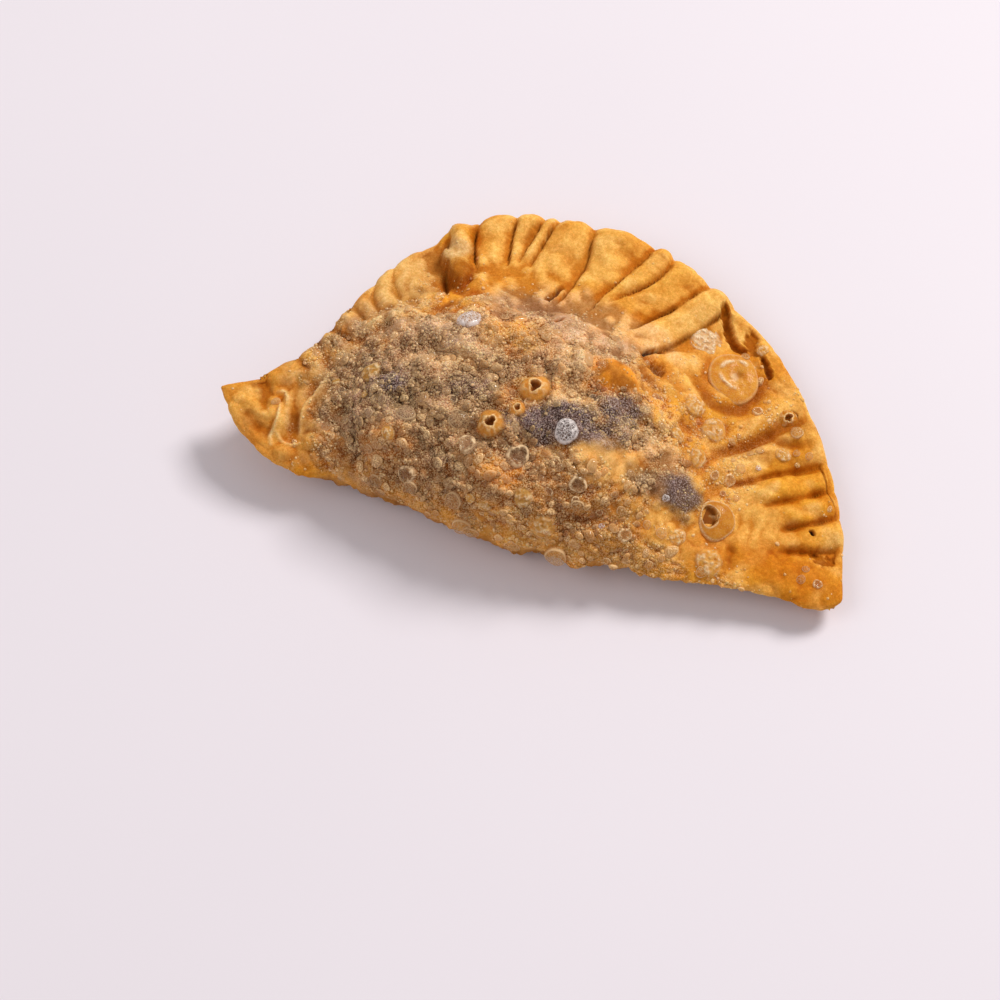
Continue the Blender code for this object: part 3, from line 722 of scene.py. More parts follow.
# Gash beds go deep amber, then dark where they gape most: partly the filling, partly painted shade.
colour = mix(colour, DEEP_AMBER, step(0.0, 0.40, gaping))
colour = mix(colour, np.array(DARK_FILLING) * 0.35, step(0.40, 1.0, gaping))
# Painted shade on the underside, below the seam.
underneath = 1 - step(0, 3 * MM, crust[..., 2] - seam_height(crust + shift) + 3 * MM)
colour = mix(colour, UNDERSIDE_SHADE, 0.55 * underneath)
colour = colour / np.maximum(colour.max(axis=2, keepdims=True) / BRIGHTEST, 1)
print("mottled and shaded:", np.round(colour[:, upper].mean(axis=(0, 1)), 3))

# %% [markdown]
# ## From a grid to a mesh
# A grid whose rows close on themselves is a tube. Its two open ends are drawn together in a point
# each, which makes the tube a closed skin. The crust, each big blister and each bubble are such tubes.

# %% Closed skin


def new_piece(name, points, faces, material, attributes):
    """A smooth-shaded mesh object with named values at its points: one number or three each."""
    mesh = bpy.data.meshes.new(name)
    mesh.from_pydata(points, [], faces)
    mesh.shade_smooth()
    for key, values in attributes.items():
        values = np.asarray(values, dtype=np.float32)
        if values.ndim == 1:
            mesh.attributes.new(key, "FLOAT", "POINT").data.foreach_set("value", values)
        else:
            opaque = np.concatenate([values, np.ones((len(values), 1), np.float32)], axis=1)
            mesh.attributes.new(key, "FLOAT_COLOR", "POINT").data.foreach_set("color", opaque.ravel())
    mesh.materials.append(material)
    piece = bpy.data.objects.new(name, mesh)
    bpy.context.scene.collection.objects.link(piece)
    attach(piece, "root")
    return piece


def tube_faces(columns, rows, count=1):
    """Quads between neighbouring cross-sections and a fan of triangles to a pole at each end, for each
    of count tubes. The points of a tube are its grid and then its two poles."""
    index = np.arange(columns * rows).reshape(columns, rows)
    beside = np.roll(index, -1, axis=1)
    quads = np.stack([index[:-1], index[1:], beside[1:], beside[:-1]], axis=-1).reshape(-1, 4)
    first = np.stack([np.full(rows, columns * rows), index[0], beside[0]], axis=-1)
    last = np.stack([np.full(rows, columns * rows + 1), beside[-1], index[-1]], axis=-1)
    fans = np.concatenate([first, last])
    step_on = (columns * rows + 2) * np.arange(count)[:, None, None]
    return (quads + step_on).reshape(-1, 4).tolist() + (fans + step_on).reshape(-1, 3).tolist()


def with_poles(values):
    """The values of a grid as a list, followed by the means of its first and last cross-section."""
    poles = [values[0].mean(axis=0), values[-1].mean(axis=0)]
    return np.concatenate([values.reshape(-1, *values.shape[2:]), poles])


print("points in the closed skin:", len(with_poles(crust)))

# %% [markdown]
# ## Crust material
# Fried dough is a little translucent and covered with a film of oil. One Principled shader holds
# both: some light travels under the surface, and a faint sheen is left of the oil. The painted
# colour is broken up by noise of three sizes. Tiny round cells raise and lighten the skin where it
# foams, for the bubbles that are too fine to model.

# %% Node helpers


def start_material(name):
    """A new material with its node tree and its Principled shader."""
    material = bpy.data.materials.new(name)
    material.use_nodes = True
    return material, material.node_tree, material.node_tree.nodes["Principled BSDF"]


def add(tree, kind, sockets=None, **settings):
    """A new node, with its plain settings and the values or links of its input sockets."""
    node = tree.nodes.new(kind)
    for key, value in settings.items():
        setattr(node, key, value)
    for key, value in (sockets or {}).items():
        if isinstance(value, bpy.types.NodeSocket):
            tree.links.new(value, node.inputs[key])
        else:
            node.inputs[key].default_value = value
    return node


def attribute(tree, name):
    """The node that reads one of the values kept at the points of the mesh."""
    return add(tree, "ShaderNodeAttribute", attribute_name=name)


def maths(tree, operation, one, other=0.0):
    """The result of one arithmetic step on numbers or links."""
    return add(tree, "ShaderNodeMath", {0: one, 1: other}, operation=operation).outputs[0]


def blend_colour(tree, share, one, other, blend="MIX"):
    """Two colours mixed or multiplied by a share."""
    node = add(tree, "ShaderNodeMix", {0: share, 6: one, 7: other}, data_type="RGBA", blend_type=blend)
    return node.outputs[2]


def remap(tree, value, from_low, from_high, to_low, to_high):
    """A value carried from one range to another, and held at its ends."""
    sockets = {0: value, 1: from_low, 2: from_high, 3: to_low, 4: to_high}
    return add(tree, "ShaderNodeMapRange", sockets, clamp=True).outputs[0]


# %% Oily fried dough


def specks(tree, where, scale, size):
    """1 in the middle of scattered round specks and 0 between them, from the middles of Voronoi cells."""
    cells = add(tree, "ShaderNodeTexVoronoi", {"Vector": where, "Scale": scale})
    return remap(tree, cells.outputs["Distance"], 0.0, size, 1.0, 0.0)


def fried_dough():
    """Painted colour, broken up by noise, with fine cells, a soft inside and a faint sheen."""
    material, tree, shader = start_material("oily fried dough")
    where = add(tree, "ShaderNodeTexCoord").outputs["Object"]
    foamy = attribute(tree, "foam").outputs["Fac"]
    # Fine grain, wide clouds, and round cells whose domes are lit where the skin foams.
    rough = {"Vector": where, "Scale": 1300.0, "Detail": 3.0, "Roughness": 0.6}
    grain = add(tree, "ShaderNodeTexNoise", rough)
    cloud = add(tree, "ShaderNodeTexNoise", {"Vector": where, "Scale": 260.0, "Detail": 4.0})
    cells = add(tree, "ShaderNodeTexVoronoi", {"Vector": where, "Scale": 1250.0})
    dome = remap(tree, cells.outputs["Distance"], 0.0, 0.5, 1.0, 0.0)
    lit = maths(tree, "MULTIPLY", dome, foamy)
    # The clouds darken the painted colour and the grain lightens it.
    painted = attribute(tree, "crust_colour").outputs["Color"]
    darker = blend_colour(tree, 1.0, painted, (0.84, 0.69, 0.48, 1), "MULTIPLY")
    varied = blend_colour(tree, remap(tree, cloud.outputs["Fac"], 0.44, 0.60, 0.0, 0.55), painted, darker)
    light = blend_colour(tree, 1.0, varied, (1.27, 1.37, 1.70, 1), "MULTIPLY")
    pale = blend_colour(tree, remap(tree, grain.outputs["Fac"], 0.44, 0.66, 0.0, 0.8), varied, light)
    # Pale specks stand where it foams, with dark pores between them.
    tiny = maths(tree, "MULTIPLY", specks(tree, where, 2600.0, 0.36), foamy)
    speck = maths(tree, "MAXIMUM", remap(tree, lit, 0.5, 0.95, 0.0, 0.35), maths(tree, "MULTIPLY", tiny, 0.6))
    pores = add(tree, "ShaderNodeTexNoise", {"Vector": where, "Scale": 3000.0, "Detail": 2.0})
    pit = blend_colour(tree, foamy, (0.88, 0.78, 0.60, 1), (0.58, 0.48, 0.44, 1))
    pored = blend_colour(tree, 1.0, pale, pit, "MULTIPLY")
    skin = blend_colour(tree, remap(tree, pores.outputs["Fac"], 0.50, 0.60, 0.0, 0.75), pale, pored)
    # Froth fills in between, and thin lace lies over the bare filling.
    bare = attribute(tree, "bare").outputs["Fac"]
    froth = maths(tree, "MULTIPLY", remap(tree, pores.outputs["Fac"], 0.50, 0.40, 0.0, 0.55), foamy)
    lace = maths(tree, "MULTIPLY", remap(tree, pores.outputs["Fac"], 0.48, 0.40, 0.0, 0.45), bare)
    speck = maths(tree, "MAXIMUM", speck, maths(tree, "MAXIMUM", froth, lace))
    crumb = blend_colour(tree, bare, (0.90, 0.62, 0.34, 1), (0.66, 0.50, 0.44, 1))
    tree.links.new(blend_colour(tree, speck, skin, crumb), shader.inputs["Base Color"])
    tree.links.new(remap(tree, cloud.outputs["Fac"], 0.35, 0.65, 0.50, 0.66), shader.inputs["Roughness"])
    # The grain and the domes also catch the light, and some of it travels under the surface.
    fine = add(tree, "ShaderNodeBump", {"Height": grain.outputs["Fac"], "Strength": 0.3, "Distance": 0.00015})
    domes = add(tree, "ShaderNodeBump", {"Height": lit, "Strength": 0.9, "Distance": 0.00026,
                                         "Normal": fine.outputs[0]})
    tree.links.new(domes.outputs[0], shader.inputs["Normal"])
    shader.inputs["Specular IOR Level"].default_value = 0.04
    shader.inputs["Subsurface Weight"].default_value = 0.22
    shader.inputs["Subsurface Radius"].default_value = (1.0, 0.55, 0.25)
    shader.inputs["Subsurface Scale"].default_value = 0.0016
    return material


crust_material = fried_dough()
columns, rows = crust.shape[:2]
crust_piece = new_piece("crust", with_poles(crust), tube_faces(columns, rows), crust_material,
                        {"crust_colour": with_poles(colour), "foam": with_poles(foaming * upper),
                         "bare": with_poles(bare * upper)})
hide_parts("pastelito")
print("crust triangles:", 2 * columns * rows)

# %% [markdown]
# ## Beads and bubbles
# Steam lifts the skin into beads a millimetre wide or finer, and into bubbles of up to three. There
# are thousands, so each kind is one joined mesh with few faces for each bubble. A bubble is a profile
# turned round an axis: from the crown down to the foot, and closed below, inside the crust.

# %% Turned domes
OVAL, THREE_SIDED = 0.16, 0.07  # how far a bubble's outline leaves a circle, as shares of its radius
BASE_DEPTH = 0.5  # how deep its base lies in the crust, as a share of its height


def turned_domes(centres, axes, radii, heights, sides, profile, draw):
    """The points of each bubble: its profile of (width, height) turned round its axis, and two poles."""
    helper = np.where(np.abs(axes[:, 2:]) < 0.9, [[0.0, 0.0, 1.0]], [[1.0, 0.0, 0.0]])
    one = np.cross(axes, helper)
    one /= np.linalg.norm(one, axis=1)[:, None]
    other = np.cross(axes, one)
    width, rise = np.array(profile).T
    turn = np.linspace(0, 2 * np.pi, sides, endpoint=False)
    angle = turn[None] + draw.uniform(0, 2 * np.pi, len(centres))[:, None]
    outline = 1 + OVAL * np.cos(2 * angle + draw.uniform(0, 6.3, len(centres))[:, None])
    outline += THREE_SIDED * np.cos(3 * angle + draw.uniform(0, 6.3, len(centres))[:, None])
    flat = one[:, None] * np.cos(angle)[..., None] + other[:, None] * np.sin(angle)[..., None]
    flat = flat * outline[..., None]
    ring = flat[:, None] * (radii[:, None] * width[None])[..., None, None]
    lift = axes[:, None, None] * (heights[:, None] * rise[None])[..., None, None]
    points = (centres[:, None, None] + ring + lift).reshape(len(centres), -1, 3)
    crowns = (centres + axes * heights[:, None])[:, None]
    bases = (centres - axes * BASE_DEPTH * heights[:, None])[:, None]
    return np.concatenate([points, crowns, bases], axis=1)


def bubble_mesh(name, centres, axes, radii, heights, shades, sides, profile, material, seed):
    """Every bubble of one kind as one mesh. Its points know their height, tint and painted colour."""
    draw = np.random.default_rng(seed)
    points = turned_domes(centres, axes, radii, heights, sides, profile, draw)
    count, each = points.shape[:2]
    rise = np.clip(np.array(profile)[:, 1], 0, 1)
    values = {"rise": np.tile(np.concatenate([np.repeat(rise, sides), [1, 0]]), count),
              "tint": np.repeat(draw.uniform(0, 1, count), each),
              "crust_colour": np.repeat(shades, each, axis=0)}
    faces = tube_faces(len(profile), sides, count)
    new_piece(name, points.reshape(-1, 3), faces, material, values)
    print(name, count, "bubbles,", 2 * len(profile) * sides * count, "triangles")


print("faces of a dome with three rings of six points:", len(tube_faces(3, 6)))

# %% [markdown]
# Bubbles crowd where the skin foams. Each spot is drawn from the points of the crust with that
# weight, and is kept if it is clear of the bubbles already there. The seed makes the draw the same
# each time. Larger kinds are set first and the small ones fill the gaps between them.

# %% Spots to choose from
OPEN_ROWS = TOP_ROWS - 6  # no bubble stands on the last rows before the lip
top_points = crust[:, :OPEN_ROWS].reshape(-1, 3)
top_normals = blurred(normals, 6)[:, :OPEN_ROWS].reshape(-1, 3)
top_normals /= np.linalg.norm(top_normals, axis=1)[:, None]
cell = np.linalg.norm(np.cross(np.gradient(crust, axis=0), np.gradient(crust, axis=1)), axis=2)
top_area = cell[:, :OPEN_ROWS].ravel()
top_foam = foaming[:, :OPEN_ROWS].ravel()
top_colour, top_bare = colour[:, :OPEN_ROWS].reshape(-1, 3), bare[:, :OPEN_ROWS].ravel()
# Bubbles come in crowds, keep off gashes and creases, and the larger kinds gather near the fold.
crowding = np.clip(0.4 + 0.9 * noise(top_points, 7 * MM, 90) + 0.9 * noise(top_points, 3 * MM, 91), 0.03, 2.6)
closed = 1 - step(0.05, 0.3, (gaping + cuts + fork_cuts + 0.4 * on_curl + 0.4 * amber)[:, :OPEN_ROWS].ravel())
front_half = soft_patch(top_points + shift, (-4.0, -33.0, 100, 22, 3), 0.3)
print("spots to choose from:", len(top_points))

# %% Setting them out
SMALL_BIAS = 2.2  # above 1, small bubbles are drawn more often than large ones
BATCHES = 24  # the drawn spots are tested in so many groups, one after the other
taken_places, taken_radii = np.zeros((0, 3)), np.zeros(0)


def clear_of(spots, radii, others, other_radii, closeness):
    """True for each spot that stays clear of all the others, by their radii times closeness."""
    gaps = np.linalg.norm(spots[:, None] - others[None], axis=2)
    return (gaps > closeness * (radii[:, None] + other_radii[None])).all(axis=1)


def read_between(values, picks, part):
    """Values of the grid read inside the cell at each pick: part says how far across it, both ways."""
    i, j = np.divmod(picks, OPEN_ROWS)
    i, u, v = np.minimum(i, COLUMNS - 2), part[:, :1], part[:, 1:]
    here = values[i, j] * (1 - u) + values[i + 1, j] * u
    beyond = values[i, j + 1] * (1 - u) + values[i + 1, j + 1] * u
    return here * (1 - v) + beyond * v


def set_out(count, smallest, largest, closeness, weight, seed):
    """Spots that carry a bubble, their radii and points: drawn by weight, clear of each other."""
    global taken_places, taken_radii
    draw = np.random.default_rng(seed)
    chance = weight * top_area
    picks = draw.choice(len(top_points), 3 * count, p=chance / chance.sum(), replace=False)
    radii = (smallest + (largest - smallest) * draw.uniform(0, 1, len(picks)) ** SMALL_BIAS) / 2
    between = read_between(crust, picks, draw.uniform(0, 1, (len(picks), 2)))
    chosen, sizes, centres = np.zeros(0, int), np.zeros(0), np.zeros((0, 3))
    for batch in np.array_split(np.arange(len(picks)), BATCHES):
        spots, size = between[batch], radii[batch]
        free = clear_of(spots, size, taken_places, taken_radii, closeness)
        spots, size, batch = spots[free], size[free], batch[free]
        gaps = np.linalg.norm(spots[:, None] - spots[None], axis=2)
        crowded = np.tril(gaps < closeness * (size[:, None] + size[None]), -1).any(axis=1)
        chosen, sizes = np.append(chosen, picks[batch[~crowded]]), np.append(sizes, size[~crowded])
        centres = np.vstack([centres, spots[~crowded]])
        taken_places = np.vstack([taken_places, spots[~crowded]])
        taken_radii = np.append(taken_radii, size[~crowded])
        if len(chosen) >= count:
            break
    return chosen, sizes, centres


# %% [markdown]
# ## Bubble materials
# A bubble is a film of dough thinner than paper. Its crown lets the crust show through a little,
# while its foot and its wrinkles are pale and nearly solid. So the film's alpha follows the height on
# each bubble, which is kept at its points, and a clear coat puts the oil's sparkle on it. The smallest
# beads are filled with dough, and are the crust's own colour or a little paler.

# %% Thin film


def threads(tree, where, scale, width):
    """1 along a net of fine wrinkles and 0 between them: the edges of warped Voronoi cells."""
    warp = add(tree, "ShaderNodeTexNoise", {"Vector": where, "Scale": 0.6 * scale, "Detail": 2.0})
    offset = add(tree, "ShaderNodeVectorMath", {0: warp.outputs["Color"], 3: 0.9 / scale}, operation="SCALE")
    moved = add(tree, "ShaderNodeVectorMath", {0: where, 1: offset.outputs[0]}, operation="ADD")
    sockets = {"Vector": moved.outputs[0], "Scale": scale}
    net = add(tree, "ShaderNodeTexVoronoi", sockets, feature="DISTANCE_TO_EDGE")
    return remap(tree, net.outputs["Distance"], 0.0, width, 1.0, 0.0)


def oil(shader, subsurface, roughness, coat):
    """The gloss that films and beads share: a clear coat of oil over soft dough."""
    shader.inputs["Roughness"].default_value = roughness
    shader.inputs["Subsurface Weight"].default_value = subsurface
    shader.inputs["Subsurface Radius"].default_value = (1.0, 0.5, 0.2)
    shader.inputs["Subsurface Scale"].default_value = 0.0010
    shader.inputs["Specular IOR Level"].default_value = 0.05
    shader.inputs["Coat Weight"].default_value = coat
    shader.inputs["Coat Roughness"].default_value = 0.07


def bubble_film():
    """Pale and solid at the foot, darker and thinner at the crown, with pale wrinkles and froth."""
    material, tree, shader = start_material("bubble film")
    where = add(tree, "ShaderNodeTexCoord").outputs["Object"]
    painted = attribute(tree, "crust_colour").outputs["Color"]
    rise = attribute(tree, "rise").outputs["Fac"]
    tint = attribute(tree, "tint").outputs["Fac"]
    net = maths(tree, "MULTIPLY", threads(tree, where, 900.0, 0.10), remap(tree, tint, 0.2, 1.0, 0.0, 0.8))
    # How pale it is: the most of its foot, its wrinkles, its own tint and its froth.
    foot = remap(tree, rise, 0.25, 0.75, 1.0, 0.0)
    pale = blend_colour(tree, 0.80, painted, (0.97, 0.66, 0.33, 1))
    share = maths(tree, "MAXIMUM", maths(tree, "MULTIPLY", foot, remap(tree, tint, 0.0, 1.0, 0.65, 1.0)), net)
    share = maths(tree, "MAXIMUM", share, remap(tree, tint, 0.0, 1.0, 0.10, 0.45))
    froth = add(tree, "ShaderNodeTexNoise", {"Vector": where, "Scale": 3000.0, "Detail": 2.0})
    frothy = remap(tree, froth.outputs["Fac"], 0.46, 0.56, 0.0, 1.0)
    frothy = maths(tree, "MULTIPLY", frothy, remap(tree, tint, 0.0, 0.8, 0.35, 1.0))
    share = maths(tree, "MAXIMUM", share, frothy)
    deep = blend_colour(tree, 1.0, painted, (0.90, 0.75, 0.58, 1), "MULTIPLY")
    tree.links.new(blend_colour(tree, share, deep, pale), shader.inputs["Base Color"])
    # How solid it is: the crown lets the crust through, except where it is pale.
    solid = remap(tree, rise, 0.30, 0.80, 0.97, 0.70)
    alpha = maths(tree, "MAXIMUM", solid, maths(tree, "MULTIPLY", share, 0.95))
    tree.links.new(alpha, shader.inputs["Alpha"])
    oil(shader, 0.0, 0.50, 0.55)
    return material


film = bubble_film()
print("nodes in the bubble film:", len(film.node_tree.nodes))

# %% Solid beads


def bead_dough():
    """The crust's own colour, paler on some beads, with a soft inside."""
    material, tree, shader = start_material("bead dough")
    painted = attribute(tree, "crust_colour").outputs["Color"]
    tint = attribute(tree, "tint").outputs["Fac"]
    pale = blend_colour(tree, 0.76, painted, (0.96, 0.65, 0.35, 1))
    where = add(tree, "ShaderNodeTexCoord").outputs["Object"]
    grain = add(tree, "ShaderNodeTexNoise", {"Vector": where, "Scale": 2500.0, "Detail": 2.0})
    grainy = remap(tree, grain.outputs["Fac"], 0.4, 0.6, 0.5, 1.0)
    bright = maths(tree, "MULTIPLY", remap(tree, tint, 0.10, 0.95, 0.30, 1.0), grainy)
    tree.links.new(blend_colour(tree, bright, painted, pale), shader.inputs["Base Color"])
    oil(shader, 0.25, 0.55, 0.25)
    return material


dough = bead_dough()
print("nodes in the bead dough:", len(dough.node_tree.nodes))

# %% [markdown]
# ## The named blisters
# Nearly ninety blisters are wide or bright enough to know one by one. Some are rings round a thin
# sunken film, some are clear domes or crackled ones, some have burst and left a crater, and one is
# half torn open. Each is a height over a disc, from its centre to its foot, so one polar grid makes
# them all. Each also says how bright its film is, how solid, and where it gapes.

# %% Where the named blisters stand
# For each kind, the x, y and diameter of its blisters in millimetres.
BLISTERS = {
    "ring": [(-37.1, -20.7, 1.9), (-48.6, -23.4, 1.9), (-21.4, -21.0, 2.2), (-14.3, -31.0, 4.4),
             (-4.8, -16.1, 3.0), (-3.2, -28.6, 5.8), (-26.2, -39.3, 4.8), (12.0, -30.0, 4.4),
             (6.2, -33.7, 2.2), (9.9, -34.9, 1.6), (12.6, -33.4, 2.2), (18.4, -32.6, 1.8),
             (25.2, -35.2, 3.5), (21.4, -0.6, 3.1), (16.8, -11.4, 2.3), (8.7, -8.8, 2.8),
             (43.4, -11.2, 3.0), (39.8, -11.5, 2.4), (44.0, 8.7, 2.6), (70.4, -27.9, 2.3),
             (43.0, -15.0, 1.6)],
    "film": [(-37.2, -25.7, 2.2), (-39.3, -29.7, 2.2), (-36.6, -36.6, 2.2), (-48.9, -32.8, 2.4),
             (-18.7, -25.5, 5.0), (-21.8, -33.6, 2.0), (-24.7, -32.6, 2.0), (-24.3, -41.3, 3.4),
             (-33.7, -40.9, 3.6), (2.9, -38.8, 2.5), (13.4, -34.1, 3.0), (23.0, -30.9, 2.3),
             (32.9, -30.9, 2.7), (29.3, -30.6, 2.1), (32.6, -38.0, 2.0), (-13.8, -41.7, 4.4),
             (-8.6, -44.6, 3.8), (1.5, -44.6, 3.8), (11.9, -43.4, 5.2), (-11.1, -44.3, 4.8),
             (23.3, -40.5, 2.2), (9.2, -25.3, 2.0), (7.1, -28.5, 2.0), (22.5, -22.4, 2.0),
             (-30.4, -27.8, 4.4), (37.0, 21.8, 2.2), (54.4, 6.6, 3.3), (55.8, 1.7, 1.8), (58.7, 2.3, 2.0),
             (45.7, -2.8, 1.6), (47.6, -1.3, 2.0), (44.8, -7.5, 2.4), (46.2, -14.5, 1.6),
             (44.3, -35.1, 2.7), (66.4, -28.2, 2.2), (66.7, -25.5, 1.8), (-29.7, -3.5, 2.4),
             (-17.7, -5.0, 2.4), (-16.6, 10.5, 2.0)],
    "crackle": [(-43.1, -18.8, 5.8), (-51.2, -21.6, 2.6), (-42.0, -25.3, 2.3), (-32.8, -33.1, 3.8),
                (1.3, -37.0, 5.2), (7.5, -40.4, 6.9), (36.5, -29.4, 4.9), (-10.2, -40.4, 3.0),
                (-6.7, -40.8, 3.5), (28.9, -7.2, 4.4), (34.7, -9.9, 5.3), (29.8, 3.3, 6.6),
                (36.0, -0.6, 7.2), (40.2, 24.8, 3.4), (53.0, -0.3, 4.2), (56.8, -0.8, 1.6),
                (45.4, -32.3, 7.2)],
    "white": [(6.1, -21.0, 5.7), (-25.2, -0.3, 5.8), (19.7, -35.0, 1.5), (31.4, -23.8, 1.8),
              (48.7, -6.0, 1.3)],
    "crater": [(-10.8, -24.5, 7.6), (-6.6, -18.8, 4.6), (-4.8, -12.4, 8.0)],
    "open": [(51.0, 10.4, 6.0)],
    "flake": [(27.0, 22.0, 8.8)],
    "disc": [(35.7, 15.2, 12.8)],
    "torn": [(43.5, -22.1, 9.4)],
}
WHITENESS = {"ring": 0.45, "film": 0.40, "white": 1.0, "crackle": 0.30, "crater": 0.10, "open": 0.10,
             "flake": 0.5, "disc": 0.45, "torn": 0.25}
SOLIDITY = {"ring": 0.25, "film": 0.28, "white": 0.35, "crackle": 0.80, "crater": 1.0, "open": 1.0,
            "flake": 0.85, "disc": 1.0, "torn": 0.75}
CLEAR_KINDS, SKIN_KINDS = ("ring", "film", "white"), ("crackle", "crater", "open", "flake", "disc", "torn")
# The share of its radius past which a kind fades into the crust, and the colour of a kind's own skin.
FADES_FROM = {"crackle": 0.70, "crater": 0.66, "open": 0.66, "flake": 0.70}
SKIN_TINTS = {"crackle": (0.80, 0.42, 0.095), "crater": (0.72, 0.31, 0.050), "open": GOLDEN, "flake": CREAM,
              "disc": (0.80, 0.38, 0.055), "torn": GOLDEN}
print("named blisters:", sum(len(places) for places in BLISTERS.values()))

# %% [markdown]
# The heights are shares of the radius. A dome is half a flattened ball. A bell-shaped bump along a
# circle makes a lip, and subtracting a smooth plateau sinks a film or opens a crater.

# %% Blister heights


def dome(r):
    """A round cap: the height of half a flattened ball."""
    return np.sqrt(np.clip(1 - r ** 2, 0, 1))


def bell(value, middle, width):
    """1 at the middle, falling off on both sides like a bell."""
    return np.exp(-((value - middle) / width) ** 2)


def blister_form(kind, r, turn, wobble, edge_wobble):
    """Height, brightness of the film and darkness of the opening, at each radius and turn."""
    lip, gape = 0.9 * bell(r, 0.93, 0.08), np.zeros(r.shape)
    if kind == "ring":
        # A rim that thickens and thins, round a sunken film.
        height = 0.60 * dome(r) - 0.36 * (1 - step(0.30, 0.80, r + 0.05 * wobble))
        lip = bell(r, 0.84, 0.15 + 0.06 * edge_wobble) * np.clip(0.85 + 0.5 * wobble, 0.3, 1)
        lip = lip + 0.8 * np.clip(wobble - 0.2, 0, 1)
        gape = 0.60 * (1 - step(0.30, 0.68, r + 0.1 * wobble))
    elif kind in ("crater", "open"):
        # A bulb that has burst: round shoulders, and a hole with a ragged edge.
        edge = 0.31 + 0.08 * edge_wobble
        gape = 1 - step(-0.09, 0.03, r - edge)
        bulb = (1 - np.clip(r, edge, 1) ** 2) ** 1.2
        height = (0.72 * bulb + 0.03 * wobble * step(1.0, 0.7, r)) * (1 - gape) + 0.12 * gape
        lip = 1.1 * bell(r, edge + 0.06, 0.06) + np.clip(0.05 + 0.9 * wobble, 0, 0.6)
        gape = gape * (1.0 if kind == "crater" else 0.4)
    elif kind == "disc":
        # A low disc with one spiral arm on it and a pit beside its middle.
        arm = np.mod(1.1 - turn, 2 * np.pi) / (2 * np.pi)
        swirl = bell(r, 0.24 + 0.46 * arm, 0.07) * step(0.15, 0.35, arm) * np.clip(0.65 + 0.9 * wobble, 0, 1)
        pit = np.exp(-((r * np.cos(turn) - 0.16) ** 2 + (r * np.sin(turn) - 0.14) ** 2) / 0.035)
        height = 0.26 * dome(r) ** 0.6 + 0.05 * swirl - 0.12 * pit + 0.012 * wobble
        lip = 1.1 * swirl + 0.35 * bell(r, 0.95, 0.05) + 0.6 * bell(r, 0.08, 0.09)
        gape = 0.5 * pit
    elif kind == "torn":
        # A low dome with a round bite out of it, and a few strands across the bite.
        reach = 0.44 + 0.04 * edge_wobble
        bite = np.hypot(r * np.cos(turn) + 0.46, 0.8 * (r * np.sin(turn) + 0.02)) / reach
        gape = 1 - step(0.90, 1.02, bite)
        height = 0.36 * dome(r) ** 0.8 * (1 - gape) + 0.03 * gape + 0.05 * bell(bite, 1.06, 0.08)
        strands = gape * np.clip(1.8 * wobble, 0, 1) * step(-0.1, 0.25, r * np.sin(turn))
        lip = bell(bite, 1.06, 0.07) + bell(r, 0.95, 0.05) + strands
        gape = gape * (1 - strands)
    elif kind == "flake":
        # A thin sheet with streaks along it.
        streak = 0.5 + 0.5 * np.sin(13 * (r * np.sin(turn) + 0.25 * wobble))
        height = 0.09 * dome(r) ** 0.5 * (1 + 0.5 * wobble + 0.5 * streak)
        lip = np.clip(0.25 + 0.5 * wobble + 0.6 * streak, 0, 1) * step(1.0, 0.8, r)
    elif kind == "white":
        # A dome that is white nearly all over.
        height = 0.52 * dome(r) * (1 + 0.12 * wobble)
        lip = np.clip(0.15 + 0.8 * wobble, 0, 1) + 0.7 * bell(r, 0.90, 0.10)
    elif kind == "crackle":
        # A soft rise with pale crumbs.
        height = 0.34 * (1 - r ** 2) * (1 + 0.25 * wobble)
        lip = np.clip(0.35 + 0.9 * wobble, 0, 0.9)
    else:
        # A clear dome.
        height = 0.55 * dome(r) * (1 + 0.04 * wobble)
    return height, np.clip(lip, 0, 1), np.clip(gape, 0, 1)


print("dome half way out:", round(float(dome(0.5)), 3))

# %% [markdown]
# A blister stands on the crust along the crust's own normal. Its outline is a circle pushed out of
# round, and its underside closes it below the crust.

# %% One blister
# The rings and the point that close a blister below the crust, and how far it stands out of the
# crust, all as shares of its radius.
CLOSING_RADII, CLOSING_HEIGHTS, BLISTER_BASE = [1.0, 0.7, 0.35], [-0.16, -0.22, -0.24], -0.24
RAISED_BY = 0.02


